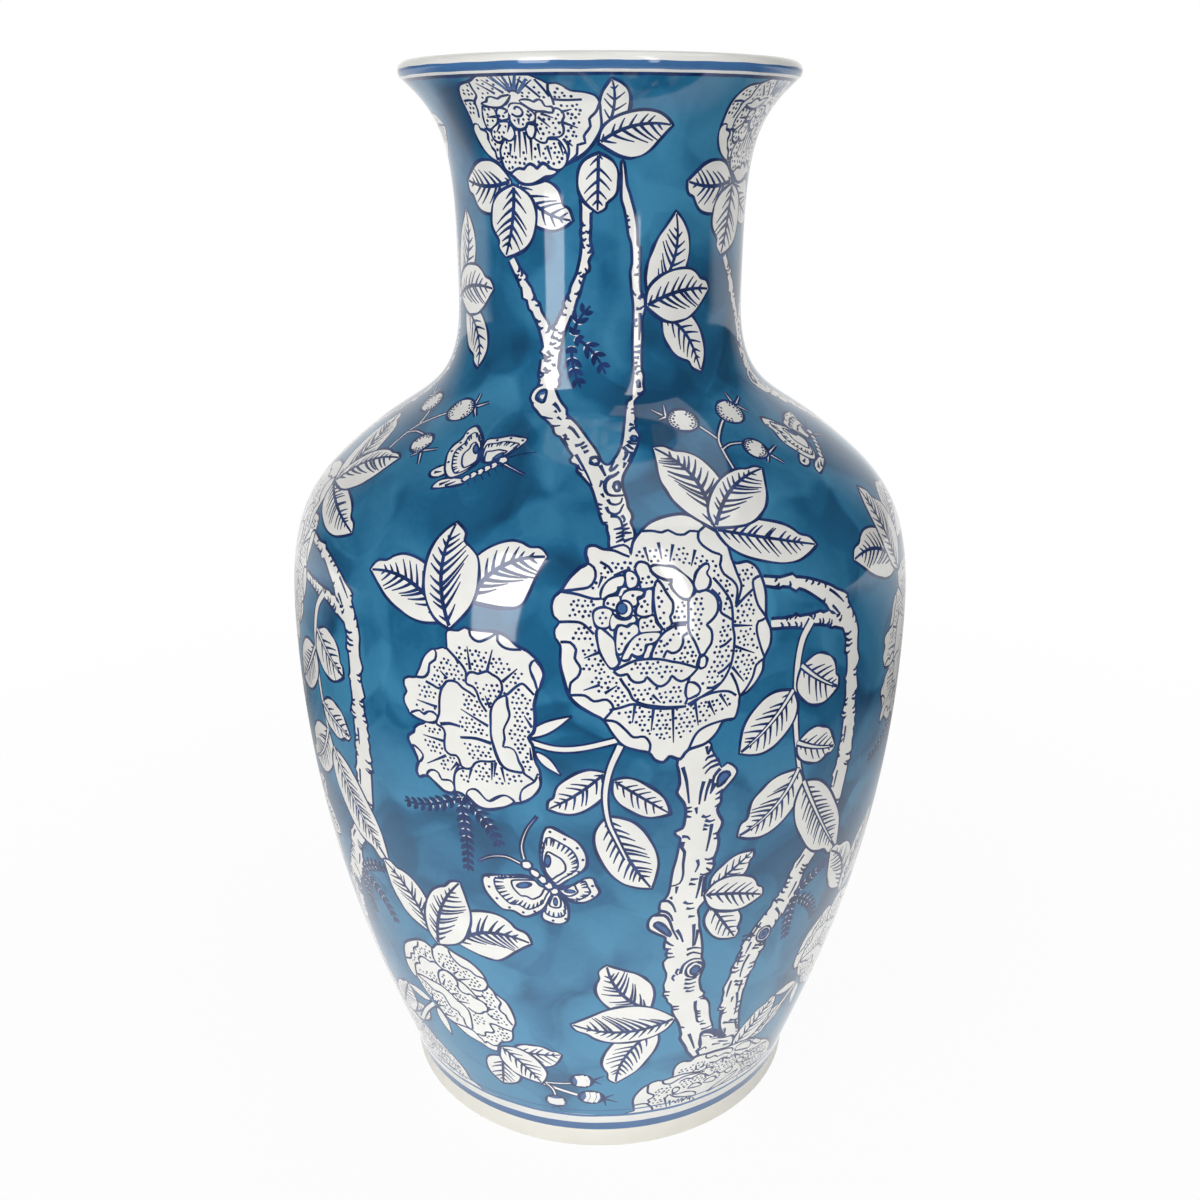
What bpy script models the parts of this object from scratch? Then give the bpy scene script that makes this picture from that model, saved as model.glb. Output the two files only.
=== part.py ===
"""Porcelain baluster vase, built from the sections such a vase is potted in.

A foot ring, a floor disc, a lower body, a shoulder, a neck and a mouth rim are turned
about one axis. Each section carries an upstanding tongue, half a wall thick, that
stands in a rebate of the section above it, with the luting gap all round.
"""
from math import acos, cos, hypot, pi, radians, sin

import bpy

MM = 0.001

# Foot ring and floor
FOOT_HEIGHT = 10.0 * MM
FOOT_STEP = 0.4 * MM
FOOT_TAPER = 0.4 * MM
FOOT_EDGE_ROUND = 1.8 * MM
FOOT_SEAT_WIDTH = 7.0 * MM
FOOT_BORE_CHAMFER = 1.5 * MM
FLOOR_RECESS = 7.0 * MM
FLOOR_THICKNESS = 7.0 * MM
FLOOR_DISH = 2.0 * MM
FLOOR_EDGE_CHAMFER = 1.0 * MM

# Outer profile: radii, and the rise of each stretch above the one below it
BASE_RADIUS = 86.0 * MM
BELLY_RADIUS = 125.0 * MM
SHOULDER_RADIUS = 90.5 * MM
WAIST_RADIUS = 54.5 * MM
MOUTH_RADIUS = 72.6 * MM
LOWER_RISE = 201.0 * MM
SHOULDER_RISE = 75.5 * MM
COLLAR_RISE = 50.5 * MM
NECK_RISE = 77.2 * MM
LIP_ROUND = 3.3 * MM

# Slopes of the profile, above the horizontal
BASE_SLOPE = radians(78.7)
SHOULDER_SLOPE = radians(38.0)
FLARE_SLOPE = radians(41.0)

# Fullness of the curves: handle length as a share of the stretch's own rise
BASE_FULLNESS = 0.10
LOWER_FULLNESS = 0.54
BELLY_FULLNESS = 0.60
SHOULDER_FULLNESS = 0.44
COLLAR_FULLNESS = 0.50
WAIST_FULLNESS = 0.70
NECK_FULLNESS = 0.64
FLARE_FULLNESS = 0.30

# Walls and seams
WALL_AT_FOOT = 8.0 * MM
WALL_AT_LIP = 2 * LIP_ROUND
LAP = 5.0 * MM
SEAM_GAP = 0.3 * MM
SEAT_GAP = 0.3 * MM
NECK_SEAM_SHARE = 0.45
RIM_SEAM_DROP = 16.0 * MM

# Facets
TURN_STEPS = 48
CURVE_SAMPLES = 60
PROFILE_STEP = 11.0 * MM
ROUND_STEPS = 6
MERGE_DISTANCE = 0.00001


def bezier(start, leave, arrive, end, count):
    """Points of a cubic curve, without its first point."""
    points = []
    for index in range(1, count + 1):
        t = index / count
        weights = ((1 - t) ** 3, 3 * t * (1 - t) ** 2, 3 * t * t * (1 - t), t ** 3)
        corners = (start, leave, arrive, end)
        points.append(tuple(sum(w * p[axis] for w, p in zip(weights, corners)) for axis in (0, 1)))
    return points


def along(point, angle, distance):
    """Point at a distance from another, in the direction of an angle above the horizontal."""
    return (point[0] + distance * cos(angle), point[1] + distance * sin(angle))


def arc(centre, radius, first, last, steps):
    """Points of an arc between two angles, ends included."""
    turns = [first + (last - first) * index / steps for index in range(steps + 1)]
    return [along(centre, turn, radius) for turn in turns]


def outer_stretches():
    """The four curves of the outer profile, from the foot joint up to the lip."""
    base = (BASE_RADIUS, FOOT_HEIGHT)
    belly = (BELLY_RADIUS, base[1] + LOWER_RISE)
    shoulder = (SHOULDER_RADIUS, belly[1] + SHOULDER_RISE)
    waist = (WAIST_RADIUS, shoulder[1] + COLLAR_RISE)
    mouth = (MOUTH_RADIUS, waist[1] + NECK_RISE)
    inward = pi - SHOULDER_SLOPE
    return [
        bezier(base, along(base, BASE_SLOPE, BASE_FULLNESS * LOWER_RISE),
               along(belly, -pi / 2, LOWER_FULLNESS * LOWER_RISE), belly, CURVE_SAMPLES),
        bezier(belly, along(belly, pi / 2, BELLY_FULLNESS * SHOULDER_RISE),
               along(shoulder, inward, -SHOULDER_FULLNESS * SHOULDER_RISE), shoulder, CURVE_SAMPLES),
        bezier(shoulder, along(shoulder, inward, COLLAR_FULLNESS * COLLAR_RISE),
               along(waist, -pi / 2, WAIST_FULLNESS * COLLAR_RISE), waist, CURVE_SAMPLES),
        bezier(waist, along(waist, pi / 2, NECK_FULLNESS * NECK_RISE),
               along(mouth, FLARE_SLOPE, -FLARE_FULLNESS * NECK_RISE), mouth, CURVE_SAMPLES),
    ]


STRETCHES = outer_stretches()
OUTLINE = [(BASE_RADIUS, FOOT_HEIGHT)] + [point for stretch in STRETCHES for point in stretch]
LENGTHS = [0.0]
for here, there in zip(OUTLINE, OUTLINE[1:]):
    LENGTHS.append(LENGTHS[-1] + hypot(there[0] - here[0], there[1] - here[1]))

FOOT_SEAM = 0.0
BELLY_SEAM = LENGTHS[CURVE_SAMPLES]
NECK_SEAM = LENGTHS[int((2 + NECK_SEAM_SHARE) * CURVE_SAMPLES)]
MOUTH_END = LENGTHS[-1]
RIM_SEAM = MOUTH_END - RIM_SEAM_DROP


def wall(length):
    """Wall thickness at a length along the outer profile."""
    share = min(max(length / MOUTH_END, 0.0), 1.0)
    return WALL_AT_FOOT + (WALL_AT_LIP - WALL_AT_FOOT) * share


def at(length, depth):
    """Point at a length along the outer profile, and a depth into the wall."""
    index = 1
    while index < len(LENGTHS) - 1 and LENGTHS[index] < length:
        index += 1
    low, high = OUTLINE[index - 1], OUTLINE[index]
    span = LENGTHS[index] - LENGTHS[index - 1]
    along_r, along_z = (high[0] - low[0]) / span, (high[1] - low[1]) / span
    step = length - LENGTHS[index - 1]
    return (low[0] + along_r * step - along_z * depth, low[1] + along_z * step + along_r * depth)


# The floor disc fits inside the wall's inner face at the foot seam
FLOOR_POCKET = at(FOOT_SEAM, wall(FOOT_SEAM))


def wall_line(first, last, share):
    """Points between two lengths, at a share of the wall's depth, as evenly spaced as fits."""
    count = max(1, round(abs(last - first) / PROFILE_STEP))
    lengths = [first + (last - first) * index / count for index in range(count + 1)]
    return [at(length, share * wall(length)) for length in lengths]


def tongue(seam):
    """A section's upper end: the tongue's inner and outer top, then the foot of its outer side."""
    depth = wall(seam) / 2 + SEAM_GAP / 2
    rest = seam - SEAM_GAP / 2
    return [at(seam + LAP, wall(seam + LAP)), at(seam + LAP, depth), at(rest, depth)]


def socket(seam):
    """A section's lower end: the foot of the rebate's side, then the outer edge of its ceiling."""
    depth = wall(seam) / 2 - SEAM_GAP / 2
    ceiling = seam + LAP + SEAM_GAP
    return [at(seam + SEAM_GAP / 2, depth), at(ceiling, depth)]


def wall_section(low, high):
    """Closed profile of a section between two seams, outer face first and downwards."""
    outer = wall_line(high - SEAM_GAP / 2, low + SEAM_GAP / 2, 0.0)
    inner = wall_line(low + LAP + SEAM_GAP, high + LAP, 1.0)
    return tongue(high)[1:] + outer + socket(low) + inner


def rim_section():
    """Closed profile of the mouth rim: flare, rounded lip and inner face."""
    centre = at(MOUTH_END, LIP_ROUND)
    lip = arc(centre, LIP_ROUND, FLARE_SLOPE + pi / 2, FLARE_SLOPE - pi / 2, 2 * ROUND_STEPS)
    outer = wall_line(MOUTH_END, RIM_SEAM + SEAM_GAP / 2, 0.0)
    inner = wall_line(RIM_SEAM + LAP + SEAM_GAP, MOUTH_END, 1.0)
    return lip[:-1] + outer + socket(RIM_SEAM) + inner[:-1]


def foot_section():
    """Closed profile of the foot ring: tongue, outer face, flat seat, bore and floor ledge."""
    foot_radius = BASE_RADIUS - FOOT_STEP
    edge_centre = (foot_radius - FOOT_TAPER - FOOT_EDGE_ROUND, FOOT_EDGE_ROUND)
    edge = arc(edge_centre, FOOT_EDGE_ROUND, 0.0, -pi / 2, ROUND_STEPS)
    seat_inner = edge_centre[0] - FOOT_SEAT_WIDTH
    bore = seat_inner - FOOT_BORE_CHAMFER
    inner_top, outer_top, outer_foot = tongue(FOOT_SEAM)
    shelf = outer_foot[1] + (outer_foot[0] - foot_radius) * cos(BASE_SLOPE) / sin(BASE_SLOPE)
    pocket_foot = (FLOOR_POCKET[0], FLOOR_RECESS)
    return [outer_top, outer_foot, (foot_radius, shelf)] + edge + [
        (seat_inner, 0.0), (bore, FOOT_BORE_CHAMFER), (bore, FLOOR_RECESS),
        pocket_foot, FLOOR_POCKET, inner_top]


def floor_section():
    """Half profile of the floor disc, dished on its upper face."""
    radius = FLOOR_POCKET[0] - SEAT_GAP
    under = FLOOR_RECESS + SEAT_GAP
    top = under + FLOOR_THICKNESS
    dish_radius = radius - 2 * FLOOR_EDGE_CHAMFER
    bowl = (dish_radius ** 2 + FLOOR_DISH ** 2) / (2 * FLOOR_DISH)
    half_angle = acos(1 - FLOOR_DISH / bowl)
    dish = arc((0.0, top - FLOOR_DISH + bowl), bowl, -pi / 2, -pi / 2 + half_angle, ROUND_STEPS)
    dish[0] = (0.0, top - FLOOR_DISH)
    return dish + [
        (radius - FLOOR_EDGE_CHAMFER, top), (radius, top - FLOOR_EDGE_CHAMFER),
        (radius, under + FLOOR_EDGE_CHAMFER), (radius - FLOOR_EDGE_CHAMFER, under), (0.0, under)]


def glaze(name, colour, roughness):
    """A material with the piece's colour and gloss."""
    material = bpy.data.materials.new(name)
    material.use_nodes = True
    shader = material.node_tree.nodes["Principled BSDF"]
    shader.inputs["Base Color"].default_value = (*colour, 1.0)
    shader.inputs["Roughness"].default_value = roughness
    shader.inputs["Metallic"].default_value = 0.0
    material.diffuse_color = (*colour, 1.0)
    return material


def turned(name, profile, closed, material, axis):
    """A piece turned about the vase's axis, its origin at the height of its lowest point."""
    base = min(point[1] for point in profile)
    mesh = bpy.data.meshes.new(name)
    count = len(profile)
    edges = [(index, index + 1) for index in range(count - 1)]
    if closed:
        edges.append((count - 1, 0))
    mesh.from_pydata([(radius, 0.0, height - base) for radius, height in profile], edges, [])
    mesh.materials.append(material)
    piece = bpy.data.objects.new(name, mesh)
    bpy.context.scene.collection.objects.link(piece)
    piece.parent = axis
    piece.location = (0.0, 0.0, base)
    screw = piece.modifiers.new("turn", "SCREW")
    screw.steps = TURN_STEPS
    screw.render_steps = TURN_STEPS
    screw.use_merge_vertices = True
    screw.merge_threshold = MERGE_DISTANCE
    screw.use_smooth_shade = True
    return piece


def main():
    for item in list(bpy.data.objects):
        bpy.data.objects.remove(item, do_unlink=True)

    axis = bpy.data.objects.new("vase_axis", None)
    bpy.context.scene.collection.objects.link(axis)

    white = glaze("white_glaze", (0.82, 0.80, 0.74), 0.12)
    bare = glaze("bare_porcelain", (0.74, 0.70, 0.62), 0.65)
    blue = glaze("painted_blue_glaze", (0.02, 0.13, 0.28), 0.10)

    turned("foot_ring", foot_section(), True, bare, axis)
    turned("base_floor", floor_section(), False, white, axis)
    turned("lower_body", wall_section(FOOT_SEAM, BELLY_SEAM), True, blue, axis)
    turned("shoulder", wall_section(BELLY_SEAM, NECK_SEAM), True, blue, axis)
    turned("neck", wall_section(NECK_SEAM, RIM_SEAM), True, blue, axis)
    turned("mouth_rim", rim_section(), True, white, axis)


main()
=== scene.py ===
"""Looks of a blue-and-white porcelain vase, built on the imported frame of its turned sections.

The wall's outer face is unrolled flat. One quarter of the painting is laid on it shape by
shape, cut into triangles along every painted edge, and wrapped four times round the vase.
Painted places are given as (degrees round the vase, millimetres up its wall).
"""

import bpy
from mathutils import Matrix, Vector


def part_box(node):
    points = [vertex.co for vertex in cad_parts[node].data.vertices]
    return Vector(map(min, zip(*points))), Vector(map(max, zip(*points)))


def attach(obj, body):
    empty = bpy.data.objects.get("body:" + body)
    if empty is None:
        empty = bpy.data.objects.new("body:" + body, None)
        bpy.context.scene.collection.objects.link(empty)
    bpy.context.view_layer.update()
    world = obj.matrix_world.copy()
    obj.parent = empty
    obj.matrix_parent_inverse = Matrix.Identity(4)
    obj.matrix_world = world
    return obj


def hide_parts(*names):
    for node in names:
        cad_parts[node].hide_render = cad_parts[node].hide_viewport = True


bl_info = {
    "name": "Blue and White Porcelain Vase",
    "version": (1, 0, 0),
    "blender": (4, 5, 0),
    "location": "View3D > Sidebar > Vase",
    "description": "Builds the painted and glazed sections of a porcelain vase",
    "category": "Add Mesh",
}

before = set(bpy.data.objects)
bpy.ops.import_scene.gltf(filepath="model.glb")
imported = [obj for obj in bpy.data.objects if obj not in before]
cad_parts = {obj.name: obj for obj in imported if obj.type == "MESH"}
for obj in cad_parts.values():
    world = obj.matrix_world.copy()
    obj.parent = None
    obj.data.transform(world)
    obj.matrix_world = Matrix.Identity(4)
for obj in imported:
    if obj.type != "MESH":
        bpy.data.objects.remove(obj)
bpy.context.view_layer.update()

from math import pi, radians

import bmesh
import bpy
import numpy as np
from bpy.props import FloatProperty, FloatVectorProperty, PointerProperty
from mathutils import Vector
from mathutils.geometry import delaunay_2d_cdt

MM = 1000.0
REPEATS = 4
HAND_SEED = 11

# Flat sheet: the radius it is unrolled at, where a repeat starts, and its spacing in mm
FLAT_RADIUS = 100.0
REPEAT_START = -45.0
COLUMNS = 48
ROW_STEP = 4.0
LIP_STEP = 0.8
MEET = 0.004

# Inside of the wall in mm, and how its map shares the sheet with the skin
INNER_STEP = 12.0
CAP_DIP = 0.3
SKIN_SHARE = 0.86
INSIDE_SHARE = 0.12
UV_WIDTH = 0.98
UV_MARGIN = 0.01

# Turned pieces in metres, and their finishes
TURN_STEPS = 128
MERGE = 2e-6
SEAT_GAP = 0.0003
GLAZE_BUMP = 0.0002
JOINT_GAP = 0.0001
FLOOR_BEVEL = 0.001
GLAZE_ROUGHNESS = 0.07
CLAY_ROUGHNESS = 0.35
GLAZE_IOR = 1.68

# Stage: the floor's reach and fades in metres, and how dim its front is in the glaze
SENSOR = 36.0
FLOOR_REACH = 6.0
FLOOR_WHITE = 0.95
FLOOR_FADE = (0.15, 0.7)
FRONT_EDGE = (0.55, 0.95)
FRONT_FLOOR = (0.18, 0.5)
REAR_FLOOR = (0.2, 0.8)
FRONT_DIM = 0.05

# Brush: widths of the painted lines and the spacing of points along them, in mm
LINE = 1.12
CURVE_STEP = 1.1
DOT_GAP = 1.9
DOT_RADIUS = 0.55
DOT_CLEAR = 0.82
DOT_PITCH = 0.87
TINY = 1e-9
VEIN_ANGLE = radians(58)
LEAFLET_ANGLE = radians(40)

PAINTS = ("wash", "reserve", "ink", "mid", "cobalt", "inner")
LEFT, RIGHT = 1, -1

# Share of a leaf's width by share of its length: a plain edge, and one with a notched lobe
LEAF_EDGE = ((0, 0), (0.05, 0.36), (0.14, 0.72), (0.28, 0.94), (0.45, 1), (0.62, 0.96), (0.77, 0.78),
             (0.88, 0.48), (0.94, 0.26), (1, 0))
LEAF_LOBE = ((0, 0), (0.05, 0.36), (0.14, 0.72), (0.3, 0.95), (0.5, 1), (0.66, 0.92), (0.76, 0.7),
             (0.81, 0.5), (0.85, 0.44), (0.91, 0.42), (0.96, 0.26), (1, 0))


def linear(code):
    """Linear colour of a six-digit screen colour."""
    parts = (int(code[i:i + 2], 16) / 255 for i in (0, 2, 4))
    return tuple(p / 12.92 if p <= 0.04045 else ((p + 0.055) / 1.055) ** 2.4 for p in parts)


def size(name, description, default):
    """A length that a user may change."""
    return FloatProperty(name=name, description=description, default=default, unit="LENGTH")


def angle(name, description, degrees):
    """An angle that a user may change."""
    return FloatProperty(name=name, description=description, default=radians(degrees), unit="ROTATION")


def share(name, description, default):
    """A share that a user may change."""
    return FloatProperty(name=name, description=description, default=default, min=0, max=1,
                         subtype="FACTOR")


def tint(name, description, code):
    """A colour that a user may change."""
    return FloatVectorProperty(name=name, description=description, default=linear(code), size=3,
                               min=0, max=1, subtype="COLOR")


class VaseShape(bpy.types.PropertyGroup):
    """Sizes of the turned sections."""
    foot_height: size("Foot height", "Height of the joint between foot and wall", 0.010)
    foot_step: size("Foot step", "How far the foot stands in from the wall", 0.0004)
    foot_taper: size("Foot taper", "How far the foot draws in to its edge", 0.0004)
    foot_edge: size("Foot edge", "Rounding of the foot's lower edge", 0.0018)
    foot_seat: size("Foot seat", "Width of the ring that the vase stands on", 0.007)
    foot_chamfer: size("Foot chamfer", "Chamfer inside the seat", 0.0015)
    floor_recess: size("Floor recess", "Height of the floor's underside above the seat", 0.007)
    floor_thickness: size("Floor thickness", "Thickness of the floor disc", 0.007)
    floor_dish: size("Floor dish", "Depth of the hollow in the floor's upper face", 0.002)
    base_radius: size("Base radius", "Radius of the wall at the foot", 0.086)
    belly_radius: size("Belly radius", "Widest radius of the body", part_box("lower_body")[1].x)
    shoulder_radius: size("Shoulder radius", "Radius where the shoulder turns to the neck", 0.0905)
    waist_radius: size("Waist radius", "Narrowest radius of the neck", 0.0545)
    mouth_radius: size("Mouth radius", "Radius of the flare under the lip", 0.0726)
    lower_rise: size("Lower rise", "Height from foot joint to belly", 0.201)
    shoulder_rise: size("Shoulder rise", "Height from belly to shoulder turn", 0.0755)
    collar_rise: size("Collar rise", "Height from shoulder turn to waist", 0.0505)
    neck_rise: size("Neck rise", "Height from waist to mouth", 0.0772)
    lip_round: size("Lip round", "Radius of the rolled lip", 0.0033)
    wall_at_foot: size("Wall at foot", "Thickness of the wall at the foot", 0.008)
    rim_drop: size("Rim drop", "Length of the mouth rim below the lip", 0.016)
    base_slope: angle("Base slope", "Slope of the wall at the foot", 78.7)
    shoulder_slope: angle("Shoulder slope", "Slope of the shoulder where it turns", 38.0)
    flare_slope: angle("Flare slope", "Slope of the flare under the lip", 41.0)
    base_fullness: share("Base fullness", "Curve handle at the foot, by the lower rise", 0.10)
    lower_fullness: share("Lower fullness", "Curve handle under the belly, by the lower rise", 0.54)
    belly_fullness: share("Belly fullness", "Curve handle over the belly, by the shoulder rise", 0.60)
    shoulder_fullness: share("Shoulder fullness", "Curve handle at the turn, by the shoulder rise", 0.44)
    collar_fullness: share("Collar fullness", "Curve handle at the turn, by the collar rise", 0.50)
    waist_fullness: share("Waist fullness", "Curve handle under the waist, by the collar rise", 0.70)
    neck_fullness: share("Neck fullness", "Curve handle over the waist, by the neck rise", 0.64)
    flare_fullness: share("Flare fullness", "Curve handle under the lip, by the neck rise", 0.30)
    neck_seam: share("Neck seam", "Place of the neck's seam on the collar curve", 0.45)


class VaseColours(bpy.types.PropertyGroup):
    """Colours of the paints, glazes and clay."""
    wash_deep: tint("Deep wash", "Cobalt ground where brush marks overlap", "154a6e")
    wash_mid: tint("Wash", "Cobalt ground", "1f658e")
    wash_light: tint("Thin wash", "Cobalt ground where the brush ran dry", "4089b0")
    reserve: tint("Reserve", "Porcelain left white for the motifs", "f5f4f0")
    ink: tint("Ink", "Dark cobalt of outlines and veins", "182b57")
    ink_thin: tint("Thin ink", "Ink where the line is weak", "2a4379")
    mid: tint("Mid blue", "Diluted cobalt of shading strokes", "3c6296")
    cobalt: tint("Band blue", "Cobalt of the rim and foot bands", "416d9f")
    inner: tint("Inner glaze", "White glaze inside the vase", "f0eee6")
    clay: tint("Bare clay", "Unglazed porcelain of the foot", "fcf9ee")
    floor: tint("Floor", "Studio floor", "f4f4f2")


class VaseStage(bpy.types.PropertyGroup):
    """Camera and light."""
    camera_distance: size("Camera distance", "Distance from the axis to the camera", 0.5077)
    camera_height: size("Camera height", "Height of the camera above the floor", 0.3935)
    camera_pitch: angle("Camera pitch", "How far the camera looks down", 19.8)
    lens: FloatProperty(name="Lens", description="Focal length on a 36 mm sensor, in mm", default=38.37)
    ambient: share("Ambient", "Strength of the white surround on matt surfaces", 0.27)


def bezier(start, leave, arrive, end, count):
    """Points of a cubic curve after its first point, as complex numbers."""
    t = np.linspace(0, 1, count + 1)[1:]
    return start * (1 - t) ** 3 + 3 * leave * t * (1 - t) ** 2 + 3 * arrive * t * t * (1 - t) + end * t ** 3


class Wall:
    """The vase's outer face as radius + 1j * height in mm, and its unrolling without distortion."""

    SAMPLES = 120

    def __init__(self, shape):
        inward = np.exp(1j * (pi - shape.shoulder_slope))
        self.flare = np.exp(1j * shape.flare_slope)
        base = complex(shape.base_radius, shape.foot_height)
        belly = complex(shape.belly_radius, base.imag + shape.lower_rise)
        turn = complex(shape.shoulder_radius, belly.imag + shape.shoulder_rise)
        waist = complex(shape.waist_radius, turn.imag + shape.collar_rise)
        mouth = complex(shape.mouth_radius, waist.imag + shape.neck_rise)
        leave = np.exp(1j * shape.base_slope) * shape.base_fullness * shape.lower_rise
        curves = (
            (base, base + leave, belly - 1j * shape.lower_fullness * shape.lower_rise, belly),
            (belly, belly + 1j * shape.belly_fullness * shape.shoulder_rise,
             turn - inward * shape.shoulder_fullness * shape.shoulder_rise, turn),
            (turn, turn + inward * shape.collar_fullness * shape.collar_rise,
             waist - 1j * shape.waist_fullness * shape.collar_rise, waist),
            (waist, waist + 1j * shape.neck_fullness * shape.neck_rise,
             mouth - self.flare * shape.flare_fullness * shape.neck_rise, mouth),
        )
        self.lip_centre = (mouth + 1j * self.flare * shape.lip_round) * MM
        self.lip_round = shape.lip_round * MM
        arc = self.lip_centre + self.lip_round * self.flare * np.exp(1j * np.linspace(-pi / 2, pi / 2, 40))
        face = np.concatenate([[base]] + [bezier(*curve, self.SAMPLES) for curve in curves]) * MM
        self.line = np.concatenate([face, arc[1:]])
        self.length = np.concatenate([[0], np.cumsum(np.abs(np.diff(self.line)))])
        middle = (self.line.real[1:] + self.line.real[:-1]) / 2
        self.rise = np.concatenate([[0], np.cumsum(np.diff(self.length) * FLAT_RADIUS / middle)])
        self.mouth_end = self.length[4 * self.SAMPLES]
        self.thickness = (shape.wall_at_foot * MM, 2 * self.lip_round)
        self.seams = (0.0, self.length[self.SAMPLES],
                      self.length[int((2 + shape.neck_seam) * self.SAMPLES)],
                      self.mouth_end - shape.rim_drop * MM, self.length[-1])

    def point(self, length):
        """Radius + 1j * height at a length up the wall."""
        radius = np.interp(length, self.length, self.line.real)
        return radius + 1j * np.interp(length, self.length, self.line.imag)

    def inner(self, length):
        """Point of the inner face behind a length up the wall."""
        along = self.point(length + 0.2) - self.point(length - 0.2)
        depth = np.interp(length, (0, self.mouth_end), self.thickness)
        return self.point(length) + 1j * along / np.abs(along) * depth

    def flat(self, turn, length):
        """Flat place of an angle in degrees and a length up the wall in mm."""
        return np.radians(turn) * FLAT_RADIUS + 1j * np.interp(length, self.length, self.rise)

    def mm(self, flat):
        """How much of the flat sheet one millimetre takes there."""
        return FLAT_RADIUS / np.interp(np.imag(flat), self.rise, self.line.real)


def inside(points, outline):
    """Which points an outline winds round."""
    x, y = points.real[:, None], points.imag[:, None]
    ahead = np.roll(outline, -1)
    rising = (outline.imag <= y) & (ahead.imag > y)
    falling = (outline.imag > y) & (ahead.imag <= y)
    turn = (ahead.real - outline.real) * (y - outline.imag)
    turn = turn - (x - outline.real) * (ahead.imag - outline.imag)
    return ((rising & (turn > 0)).sum(1) - (falling & (turn < 0)).sum(1)) != 0


def bowed(start, end, bend, scale, t):
    """Points at shares t of a curve between two flat places that bends to its left, in mm."""
    bow = (start + end) / 2 + 2j * (end - start) / np.abs(end - start) * bend * scale
    return (1 - t) ** 2 * start + 2 * t * (1 - t) * bow + t * t * end


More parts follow.
